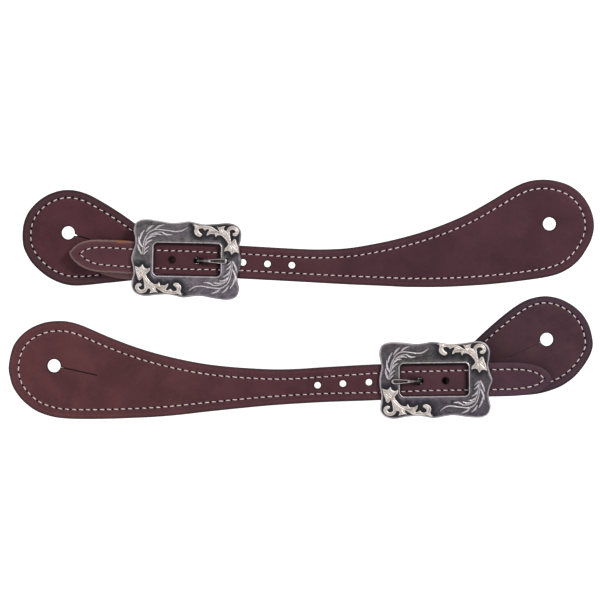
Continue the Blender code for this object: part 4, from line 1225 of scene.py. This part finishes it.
def build_frame(strap, material):
    outer = resample(strap.scallops, 0.3, True)
    inner = on_opening(outer, strap)
    count = len(outer)
    reach = np.linalg.norm(outer - inner, axis=1)[:, None]
    heading = (outer - inner) / reach
    middle = np.arange(1, MIDDLE_STEPS)
    across = np.hstack([
        np.tile(ROWS_IN, (count, 1)),
        ROWS_IN[-1] + (reach - ROWS_IN[-1] - ROWS_OUT[0]) * middle / MIDDLE_STEPS,
        reach - ROWS_OUT,
    ])
    points = (inner[:, None] + heading[:, None] * across[:, :, None]).reshape(-1, 2)
    to_in = across.reshape(-1)
    to_out = np.minimum((reach - across).reshape(-1), distance(points, outer, True))
    z, bright, oxide = frame_face(strap, points, to_in, to_out)

    # walls and underside, so each ring closes
    def row(row_points, height):
        return np.c_[row_points, np.full(count, height)][:, None]

    rings = np.concatenate([
        np.c_[points, z].reshape(count, -1, 3),
        row(outer, FRAME_Z0 + 0.5),
        row(outer - heading * 0.5, FRAME_Z0),
        row(inner + heading * 0.4, FRAME_Z0),
        row(inner, FRAME_Z0 + 0.4),
    ], axis=1)
    rings[:, :, :2] += strap.face_off

    def padded(values, fill):
        return np.hstack([values.reshape(count, -1), np.full((count, 4), fill)]).reshape(-1)

    attributes = {"bright": padded(bright, 0.15), "oxide": padded(oxide, 0.0)}
    parts = [(*loft(rings, True), attributes)]
    for sign in (1, -1):
        post = []
        for height, half, y_in, y_out in POST_SECTIONS:
            section = squarish(half, (y_out - y_in) / 2, 16, 0.5) + (0, (y_in + y_out) / 2)
            post.append(np.insert(section * (1, sign), 2, height, axis=1))
        parts.append((*loft(post, False), None))
    circle = disc(0.0, BAR_Z, BAR_R, 20)
    bar = [np.insert(circle, 1, y, axis=1) for y in np.linspace(-11.5, 11.5, 12)]
    parts.append((*loft(bar, False), None))
    name = f"{strap.side}_buckle_frame_engraved"
    return joined(name, strap.place_buckle, parts, material, sharp=40)


def build_scroll(strap, which, sign, material):
    """The silver scroll as a relief: cells inside its outline, with the rim pulled onto it."""
    fit = SCROLL_SET[strap.side][which]
    edge_ring = resample(strap.scallops, 0.6, True)
    step = 0.18
    low, high = np.array([-0.8, 1.6]), np.array([31.4, 22.6])
    size_x, size_y = (np.ceil((high - low) / step)).astype(int)
    grid_x, grid_y = np.meshgrid(
        low[0] + np.arange(size_x + 1) * step, low[1] + np.arange(size_y + 1) * step, indexing="ij"
    )
    points = np.c_[grid_x.ravel(), grid_y.ravel()]
    corners = points.reshape(size_x + 1, size_y + 1, 2)[:-1, :-1]
    centres = (corners + step / 2).reshape(-1, 2)
    solid = scroll_distance(centres, fit) < 0.0
    # it stays on the face, clear of the frame's edge
    solid &= inside(centres * sign, edge_ring)
    solid &= distance(centres * sign, edge_ring, True) > 0.45
    ids = np.arange(len(points)).reshape(size_x + 1, size_y + 1)
    quads = np.stack([ids[:-1, :-1], ids[1:, :-1], ids[1:, 1:], ids[:-1, 1:]], axis=-1)
    quads = quads.reshape(-1, 4)[solid]
    rim = sorted({i for edge in open_edges(quads) for i in edge})
    nudge = 0.02
    for _ in range(2):
        at = points[rim]
        gap = scroll_distance(at, fit)
        slope = np.c_[
            scroll_distance(at + [nudge, 0], fit) - gap, scroll_distance(at + [0, nudge], fit) - gap
        ] / nudge
        slope /= np.maximum(np.linalg.norm(slope, axis=1), 1e-3)[:, None]
        points[rim] = at - slope * np.clip(gap, -0.13, 0.13)[:, None] * 0.85
    points, quads = without_unused(points, quads)
    gap = scroll_distance(points, fit)
    vein = bell(vein_distance(as_drawn(points, fit)), 0, 0.17) * clip01((-gap - 0.12) / 0.2)
    on_face = points * sign
    to_in = np.linalg.norm(on_face - on_opening(on_face, strap), axis=1)
    ground = face_height(to_in, distance(on_face, edge_ring, True)) - 0.1
    rim_drop = clip01(1 + gap / 0.12)
    top = ground + 0.46 + 0.26 * clip01(-gap) ** 0.6 - 0.26 * vein - 0.2 * rim_drop
    top += 0.03 * unevenness(points[:, 0], points[:, 1], 1.6, 3)
    count = len(points)
    vertices = np.vstack([np.c_[on_face, top], np.c_[on_face, ground - 0.12]])
    faces = [tuple(quad) for quad in quads] + [tuple(count + quad[::-1]) for quad in quads]
    faces += [(b, a, count + a, count + b) for a, b in sorted(open_edges(quads))]
    attributes = {"vein": np.r_[np.maximum(vein, 0.45 * rim_drop), np.full(count, 0.9)]}
    name = f"{strap.side}_silver_scroll_{which}"
    return mesh_object(name, strap.place_face(vertices), faces, material, attributes, sharp=55)


def tongue_spine(strap, billet):
    """The tongue's centre line from the bar: (x, z, width) about the bar, and where it bends over.

    billet is the height of the middle of the long piece above the bar.
    """
    shape = strap.shape
    hole_x, draw, tip = shape["holes"][1][0], shape["draw"], shape["tip"]
    raised = draw / DRAW

    def at_angle(angle, x, z):
        cos, sin = math.cos(angle), math.sin(angle)
        return x * cos + z * sin, -x * sin + z * cos

    low = at_angle(raised, hole_x - draw - 0.1, 2.6)
    elbow = (min(low[0] - 1.2, 3.0), max(low[1] - 0.6, -1.45))
    root = unit(np.array(elbow)) * 1.5
    # slimmer where the hole rides up it, because the drawn billet also drifts sideways
    slim = 3.06 if strap.side == "right" else 3.19
    spine = [(*root, 2.8), (*elbow, 3.0), (*low, slim)]
    spine.append((*at_angle(raised, hole_x - draw, 3.4), slim))
    for step in range(9):
        angle = raised + (-0.22 - raised) * step / 8
        width = 3.3 + (slim - 3.3) * max(angle, 0.0) / raised
        spine.append((*at_angle(angle, hole_x - DRAW * angle, billet), width))
    rest = FRAME_Z0 + 1.55 + 0.1 - BAR_Z
    bend_x, bend_z = spine[-1][:2]
    boat_from = tip - shape["boat"]
    spine += [
        (bend_x + 0.5, bend_z + 0.6, 3.2), (bend_x + 1.5, bend_z + 0.95, 3.0),
        (bend_x + 2.6, rest - 0.3, 1.9), (bend_x + 3.6, rest - 0.1, 1.5), (bend_x + 4.9, rest, 1.5),
        (boat_from + 1.2, rest, 2.0), ((boat_from + tip) / 2, rest, 2.7), (tip - 3.2, rest, 3.1),
        (tip - 1.5, rest, 3.0), (tip - 0.5, rest, 2.2), (tip, rest, 0.8),
    ]
    spine = np.array(spine)
    apart = [math.dist(spine[i, :2], spine[i - 1, :2]) > 0.3 for i in range(1, len(spine))]
    return resample(spline(spine[[True, *apart]], per=8), 0.2, False), bend_x


def build_tongue(strap, material):
    shape = strap.shape
    tongue_y, tip = shape["tongue_y"], shape["tip"]
    boat_from = tip - shape["boat"]
    billet = BILLET_Z + STACK / 2 - BAR_Z
    spine, bend_x = tongue_spine(strap, billet)
    count, around = len(spine), 28
    x, z, width = (spine[:, k : k + 1] for k in range(3))
    normals = -side_normals(spine[:, :2], False)
    # it thins at the very tip
    thick = 0.66 * np.minimum(1, (count - np.arange(count)[:, None]) / 4)
    above = z > billet + 0.6
    boat = clip01((x - boat_from) / 0.9) * clip01((tip - 1.0 - x) / 0.5) * above
    rim = clip01((x - boat_from + 1.0) / 0.8) * above
    broad = clip01((x - bend_x - 3.2) / 0.8) * above
    angle = 2 * math.pi * np.arange(around) / around
    cos, sin = np.cos(angle), np.sin(angle)
    upper = sin > 0
    side = signed_power(cos, 0.75) * width / 2
    lift = signed_power(sin, 0.75) * thick
    groove = boat * clip01((width / 2 - 0.42 - np.abs(side)) / 0.22) * upper
    lift = lift - 0.42 * groove * (1 - 0.35 * np.cos(side * 9.0))
    ridge = (1 - broad) * clip01((0.5 - np.abs(side)) / 0.3) * upper * (z > billet + 0.2)
    # painted highlight on the broad end's rim and upper side, on the broad part's top and along the
    # neck's ridge
    bright = np.where(sin > -0.1, 0.85 * rim * (1 - groove), 0.1)
    bright = bright + 0.3 * broad * (1 - rim) * (sin > 0.3) + 0.22 * ridge
    # oxidised metal in the groove, and painted shade on the neck, which goes down through the hole
    oxide = np.maximum(0.5 * groove, (0.97 - 0.6 * ridge) * (1 - broad))
    rings = np.stack([
        strap.toward * (x + normals[:, :1] * lift),
        tongue_y + side,
        BAR_Z + z + normals[:, 1:] * lift,
    ], axis=-1)
    attributes = {"bright": clip01(bright).ravel(), "oxide": clip01(oxide).ravel()}
    body = (*loft(rings, False), attributes)
    # the loop bent round the bar
    turn = (2 * math.pi * np.arange(40) / 40)[:, None]
    angle = 2 * math.pi * np.arange(12) / 12
    radius = 1.7 + 0.5 * np.cos(angle)
    rings = np.stack([
        strap.toward * radius * np.cos(turn),
        np.tile(tongue_y + 1.05 * np.sin(angle), (40, 1)),
        BAR_Z + radius * np.sin(turn),
    ], axis=-1)
    loop = (*loft(rings, True), None)
    name = f"{strap.side}_buckle_tongue_grooved"
    return joined(name, strap.place_buckle, [body, loop], material, sharp=50)


def build_turned_end(strap, material):
    """The lining's bend round the bar and the turned end that comes back over the short piece."""
    # one side of a section: distance in from the side, depth from the inner face
    rounding = [(0.02, 0.0), (0.0, 0.3), (0.12, LINING - 0.25), (0.5, LINING)]

    def section(x, z, upper, lower, out_x, out_z):
        """(x, z) is on the inner face, (out_x, out_z) points to the outer face."""
        sides = [(lower + inset, depth) for inset, depth in rounding]
        sides += [(upper - inset, depth) for inset, depth in reversed(rounding)]
        return [(x + out_x * depth, y, z + out_z * depth) for y, depth in sides]

    rings = [section(x, LINING, 9.45, -9.45, 0, -1) for x in np.linspace(-6.0, -0.01, 5)]
    for angle in np.radians(np.linspace(-90, 90, 19)):
        cos, sin = math.cos(angle), math.sin(angle)
        rings.append(section(WRAP_IN * cos, BAR_Z + WRAP_IN * sin, 9.45, -9.45, cos, sin))
    for x, upper, lower in strap.turned[1:]:
        rings.append(section(x, TURN_Z0 + 0.02, upper, lower, 0, 0.985))
    vertices, faces = loft(rings, False)
    count = len(vertices)
    attributes = {
        "edge": np.tile([0.0, 0.1, 0.4, 0.9, 0.9, 0.4, 0.1, 0.0], len(rings)),
        "hole": np.full(count, 9.0),
        **{key: np.zeros(count) for key in ("pit", "scuff", "crease", "worn")},
        # painted highlight along the turned end's edge
        "rub": np.full(count, 0.6),
    }
    name = f"{strap.side}_short_turned_end"
    obj = mesh_object(name, strap.place(vertices), faces, material, attributes, sharp=50)

    # the slot in the bend that the tongue comes through
    corners = ((-6.6, -1.0), (4.0, -1.0), (4.0, 7.0), (-6.6, 7.0))
    vertices, faces = loft([[(x, y, z) for x, z in corners] for y in (-1.95, 1.55)], False)
    name = f"{strap.side}_slot_cutter"
    cutter = mesh_object(name, strap.place(vertices), faces, material, {})
    modifier = obj.modifiers.new("slot", "BOOLEAN")
    modifier.object = cutter
    modifier.operation = "DIFFERENCE"
    modifier.solver = "EXACT"
    graph = bpy.context.evaluated_depsgraph_get()
    baked = bpy.data.meshes.new_from_object(obj.evaluated_get(graph))
    obj.modifiers.clear()
    obj.data = baked
    bpy.data.objects.remove(cutter, do_unlink=True)
    return obj


# ---- One strap -------------------------------------------------------------------------------
def attach(strap, obj, node, group):
    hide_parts(f"{strap.side}_{node}")
    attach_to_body(obj, f"{strap.side}_{group}")


def seam_margin(run, stations, first, blend):
    """Margins along an outline, passing from upper to lower over `blend` points from `first`."""
    at, upper, lower = run
    share = clip01((np.arange(len(stations)) - first) / blend)
    return np.interp(stations, at, upper) * (1 - share) + np.interp(stations, at, lower) * share


def needle_spots(line, closed):
    """Spots about a stitch apart that divide the seam evenly."""
    whole = np.vstack([line, line[:1]]) if closed else line
    total = float(np.linalg.norm(np.diff(whole, axis=0), axis=1).sum())
    return resample(line, total / round(total / PITCH), closed)


def build_long(strap, paints, number):
    side, shape = strap.side, strap.shape
    ring = spline(shape["long_top"] + shape["long_bot"], closed=True, per=10)
    turn = 10 * len(shape["long_top"])
    line = moved_in(ring, seam_margin(LONG_SEAM[side], ring[:, 0], turn - 20, 20))
    spots = needle_spots(line, True)
    seam = (resample(line, 1.0, True), True)
    big_hole, big_slit = shape["big_hole"], shape["big_slit"]
    punches = [disc(x, y, HOLE_R, 28) for x, y in shape["holes"]]
    holes = punches + [keyhole(big_hole, big_slit, notched=False)]
    # in the lining the two holes under the buckle have closed a little round the tongue
    tongue_x, tongue_y = shape["holes"][1][0], shape["tongue_y"]
    low_holes = list(punches)
    low_holes[1] = squarish(1.18, 1.675, 36, 0.25) + (tongue_x - 0.3, tongue_y)
    low_holes[2] = squarish(HOLE_R, 1.4, 28, 0.67) + (shape["holes"][2][0], tongue_y)
    low_holes.append(keyhole(big_hole, big_slit, lean=SLIT_LEAN, notched=False))
    circles = [(x, y, HOLE_R) for x, y in shape["holes"]] + [(*big_hole, BUTTON_R)]
    slit = slit_line(big_hole, BUTTON_R - 0.3, big_slit)

    def tongue_dent_and_shade(points):
        """Where the tongue has dented the leather in front of its hole, painted darker as shade
        under the tongue.
        """
        mark = np.array([(tongue_x + 0.5, tongue_y), (tongue_x + 5.2, tongue_y)])
        return clip01((2.1 - distance(points, mark, False)) / 0.7)

    def scuffed(points):
        """A scuff on the right strap's upper edge, near the tip."""
        x, y = points.T
        return np.exp(-(((x + 36.5) / 4.2) ** 4)) * clip01((y - 8.7) / 0.7)

    # painted highlight along the edge towards the tip, strong on the right strap
    def pale_edge_band(points):
        return clip01((-12 - points[:, 0]) / 8) * (1.2 if side == "right" else 0.2)

    top = leather_piece(
        f"{side}_long_leather", strap, ring, holes, circles, seam, spots, long_z,
        paints["leather"], True, slit, seed=number, worn=tongue_dent_and_shade, rub=pale_edge_band,
        scuff=scuffed if side == "right" else zero,
    )
    low = leather_piece(
        f"{side}_long_lining_leather", strap, ring, low_holes, circles, seam, spots, long_z,
        paints["flesh"], False, slit,
    )
    over = stitches(
        f"{side}_long_stitches", strap, spots, True, long_z, STACK - STITCH_SUNK, 1,
        paints["thread"], seed=10 + number,
    )
    under = stitches(
        f"{side}_long_under_stitches", strap, spots, True, long_z, 0.2, -1,
        paints["thread"], seed=20 + number, width=0.3, proud=0.05,
    )
    attach(strap, top, "long_outer_ply", "long")
    attach(strap, low, "long_lining", "long")
    attach(strap, over, "long_top_thread", "long")
    attach(strap, under, "long_bobbin_thread", "long")


def build_short(strap, paints, number):
    side, shape = strap.side, strap.shape
    right = side == "right"
    whole = spline(shape["short_top"] + shape["short_bot"], per=10)
    # the outlines are drawn anticlockwise, so they are reversed
    body = whole[whole[:, 0] < -2.6]
    ring = np.vstack([[(-2.7, 9.46)], body, [(-2.7, -9.46)]])[::-1]
    low_ring = np.vstack([[(-6.0, 9.5)], body[body[:, 0] < -6.0], [(-6.0, -9.5)]])[::-1]
    turn = 10 * (len(shape["short_top"]) - 1)
    margin = seam_margin(SHORT_SEAM[side], -whole[:, 0], turn - 15, 30)
    line = moved_in(whole, -margin, closed=False)
    line = line[line[:, 0] < -5.2]
    spots = needle_spots(line, False)
    seam = (resample(line, 1.0, False), False)
    small_hole, small_slit = shape["small_hole"], shape["small_slit"]
    hole = keyhole(small_hole, small_slit, notched=right)
    low_hole = keyhole(small_hole, small_slit, lean=SLIT_LEAN, notched=right)
    circles = [(*small_hole, BUTTON_R)]
    slit = slit_line(small_hole, BUTTON_R + (NOTCH_L - 1 if right else 0), small_slit)

    # which needle spots the turned end covers
    turned_x, upper, lower = strap.turned[::-1].T
    x, y = spots.T
    hidden = (x > strap.turned[-1, 0]) & (y < np.interp(x, turned_x, upper))
    hidden &= y > np.interp(x, turned_x, lower)

    top = leather_piece(
        f"{side}_short_leather", strap, ring, [hole], circles, seam, spots[~hidden], zero,
        paints["short_leather"], True, slit, seed=number + 8,
        opened=1.0 if right else 0.32, pit_r=0.66 if right else 0.56,
    )
    low = leather_piece(
        f"{side}_short_lining_leather", strap, low_ring, [low_hole], circles, seam,
        spots[x < -7.0], zero, paints["flesh"], False, slit,
    )
    back = build_turned_end(strap, paints["turned_leather"])

    # the seam steps up onto the turned end
    changes = np.flatnonzero(np.diff(hidden)) + 1
    runs = zip(np.split(spots, changes), np.split(hidden, changes))
    runs = [(part, flags[0]) for part, flags in runs if len(part) >= 2]
    over = []
    for i, (part, raised) in enumerate(runs):
        lift = TURN_Z1 - 0.2 if raised else STACK - STITCH_SUNK
        over.append(stitches(
            f"{side}_short_stitches_{i}", strap, part, False, zero, lift, 1,
            paints["thread"], seed=30 + number + i, width=0.27 if raised else 0.31,
            proud=0.0 if raised else 0.2, inset=0.62 if right else 0.45,
        ))
    under = stitches(
        f"{side}_short_under_stitches", strap, spots[x < -6.5], False, zero, 0.2, -1,
        paints["thread"], seed=40 + number, width=0.3, proud=0.05,
    )
    for obj in over:
        attach(strap, obj, "short_top_thread", "short")
    attach(strap, top, "short_outer_ply", "short")
    attach(strap, low, "short_lining_turned_end", "short")
    attach(strap, back, "short_lining_turned_end", "short")
    attach(strap, under, "short_bobbin_thread", "short")


def build_buckle(strap, paints):
    attach(strap, build_frame(strap, paints["frame"]), "buckle_frame", "buckle")
    for which, sign in (("top", 1), ("bottom", -1)):
        scroll = build_scroll(strap, which, sign, paints["silver"])
        attach(strap, scroll, f"scroll_overlay_{which}", "buckle")
    attach(strap, build_tongue(strap, paints["tongue"]), "buckle_tongue", "tongue")


# ---- Paints and straps -----------------------------------------------------------------------
straps = {side: Strap(side) for side in ("right", "left")}
RIGHT_EDGE = (0.024, 0.0125, 0.016)
LEFT_LEATHER = {
    "dark": (0.062, 0.02, 0.024), "light": (0.098, 0.033, 0.036), "warm": (0.105, 0.034, 0.034),
    "edge": (0.028, 0.0145, 0.017), "seed": 2,
}
paints = {
    "right": {
        "leather": leather_material(
            "right_leather", dark=(0.05, 0.0155, 0.022), light=(0.076, 0.025, 0.033),
            warm=(0.085, 0.026, 0.031), edge=RIGHT_EDGE, seed=1,
            tints=[(-92.0, -98.0, (1.17, 1.28, 1.22)), (-10.0, 40.0, (0.91, 0.96, 1.02))],
            frame_shadow_at=straps["right"].opening_in_world(),
        ),
        "short_leather": leather_material(
            "right_short_leather", dark=(0.052, 0.0155, 0.022), light=(0.08, 0.025, 0.033),
            warm=(0.09, 0.026, 0.031), edge=RIGHT_EDGE, seed=1, band=(2.0, 0.5, 0.8), border=0.7,
        ),
        "flesh": flesh_material(
            "right_flesh", dark=(0.07, 0.03, 0.028), light=(0.12, 0.055, 0.048)
        ),
    },
    "left": {
        "leather": leather_material(
            "left_leather", **LEFT_LEATHER,
            tints=[
                (-90.0, -110.0, (1.1, 1.05, 1.05)), (-85.0, -25.0, (0.84, 0.83, 0.95)),
                (20.0, 70.0, (0.92, 1.07, 1.12)), (100.0, 112.0, (0.92, 1.0, 1.12)),
            ],
            frame_shadow_at=straps["left"].opening_in_world(),
        ),
        "short_leather": leather_material(
            "left_short_leather", **LEFT_LEATHER, band=(1.6, 0.4, 0.7), border=0.65,
            tints=[(60.0, 61.0, (0.73, 0.9, 1.13)), (134.0, 106.0, (0.68, 0.68, 0.68))],
        ),
        "flesh": flesh_material(
            "left_flesh", dark=(0.08, 0.034, 0.03), light=(0.13, 0.06, 0.052)
        ),
    },
}
FRAME_LOOKS = {
    "right": {"level": 1.08, "cast_span": (24.0, 8.0), "cast": (1.2, 1.15, 1.26)},
    "left": {"level": 0.75, "cast_span": (-45.0, -60.0), "cast": (1.04, 1.0, 1.14)},
}
for side, look in FRAME_LOOKS.items():
    paints[side]["frame"] = frame_material(f"{side}_antiqued_frame", **look)
    # the turned end's cut edge is painted paler as a painted highlight
    paints[side]["turned_leather"] = leather_material(
        f"{side}_turned_leather", dark=(0.075, 0.03, 0.034), light=(0.11, 0.047, 0.05),
        warm=(0.12, 0.05, 0.05), edge=(0.13, 0.065, 0.062), seed=3, band=(0.9, 0.2, 0.8),
    )
shared = {
    "thread": thread_material("waxed_thread"),
    "silver": silver_material("silver_scroll"),
    "tongue": tongue_material("tongue_metal"),
}
for number, (side, strap) in enumerate(straps.items(), start=1):
    strap_paints = {**paints[side], **shared}
    build_long(strap, strap_paints, number)
    build_short(strap, strap_paints, number)
    build_buckle(strap, strap_paints)

# a word in the material's name, and its slot
SLOTS = {
    "leather": "leather", "flesh": "flesh_side", "waxed_thread": "thread",
    "antiqued_frame": "antiqued_frame", "silver_scroll": "silver_overlay",
    "tongue_metal": "tongue_metal",
}
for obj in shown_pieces():
    if obj.data.materials and obj.data.materials[0]:
        for word, slot in SLOTS.items():
            if word in obj.data.materials[0].name:
                break


# ---- Floor, light and camera, in metres ------------------------------------------------------
def build_floor(half, z):
    mesh = bpy.data.meshes.new("floor")
    corners = [(-half, -half, z), (half, -half, z), (half, half, z), (-half, half, z)]
    mesh.from_pydata(corners, [], [(0, 1, 2, 3)])
    floor = bpy.data.objects.new("floor", mesh)
    bpy.context.scene.collection.objects.link(floor)
    paper = Paint("pale_paper")
    grain = paper.noise(scale=0.6, detail=3.0)
    colour = paper.coat((0.4, 0.4, 0.4), grain, (0.38, 0.38, 0.38), strength=0.05)
    paper.surface(colour, roughness=0.9)
    paper.put(paper.shader.inputs["Emission Color"], (1, 1, 1))
    paper.put(paper.shader.inputs["Emission Strength"], 0.84)
    mesh.materials.append(paper.material)


def area_light(name, place, size, energy, colour=(1, 1, 1)):
    """A rectangular light aimed at the origin."""
    data = bpy.data.lights.new(name, "AREA")
    data.shape = "RECTANGLE"
    data.size, data.size_y = size
    data.energy = energy
    data.color = colour
    lamp = bpy.data.objects.new(name, data)
    lamp.location = place
    lamp.rotation_euler = (-Vector(place)).to_track_quat("-Z", "Y").to_euler()
    bpy.context.scene.collection.objects.link(lamp)


def build_world(to_camera, as_light):
    """A white backdrop that the camera sees brighter than it lights."""
    world = bpy.data.worlds.new("studio")
    bpy.context.scene.world = world
    world.use_nodes = True
    nodes, links = world.node_tree.nodes, world.node_tree.links
    background = nodes["Background"]
    background.inputs["Color"].default_value = (1, 1, 1, 1)
    seen = nodes.new("ShaderNodeLightPath")
    strength = nodes.new("ShaderNodeMath")
    strength.operation = "MULTIPLY_ADD"
    links.new(seen.outputs["Is Camera Ray"], strength.inputs[0])
    strength.inputs[1].default_value = to_camera - as_light
    strength.inputs[2].default_value = as_light
    links.new(strength.outputs[0], background.inputs["Strength"])


def build_camera(view_width, lens, sensor):
    """Looks straight down and takes in view_width."""
    data = bpy.data.cameras.new("camera")
    data.sensor_width = sensor
    data.lens = lens
    data.clip_end = 20.0
    camera = bpy.data.objects.new("camera", data)
    camera.location = (-0.00077, -0.00029, view_width * lens / sensor + 0.004)
    bpy.context.scene.collection.objects.link(camera)
    bpy.context.scene.camera = camera


# well below the straps, because a long piece swings under them when its buckle turns
build_floor(half=6.0, z=-0.12)
area_light("key", (0.95, 0.8, 0.95), size=(0.45, 0.45), energy=20.0, colour=(1.0, 0.985, 0.97))
area_light("fill", (-1.0, 0.1, 0.85), size=(0.9, 0.9), energy=5.0, colour=(0.97, 0.98, 1.0))
area_light("front", (0.1, -1.1, 0.9), size=(1.2, 0.6), energy=5.0)
build_world(to_camera=1.0, as_light=0.4)
bpy.context.scene.view_settings.view_transform = "Standard"
build_camera(view_width=0.342, lens=200.0, sensor=36.0)
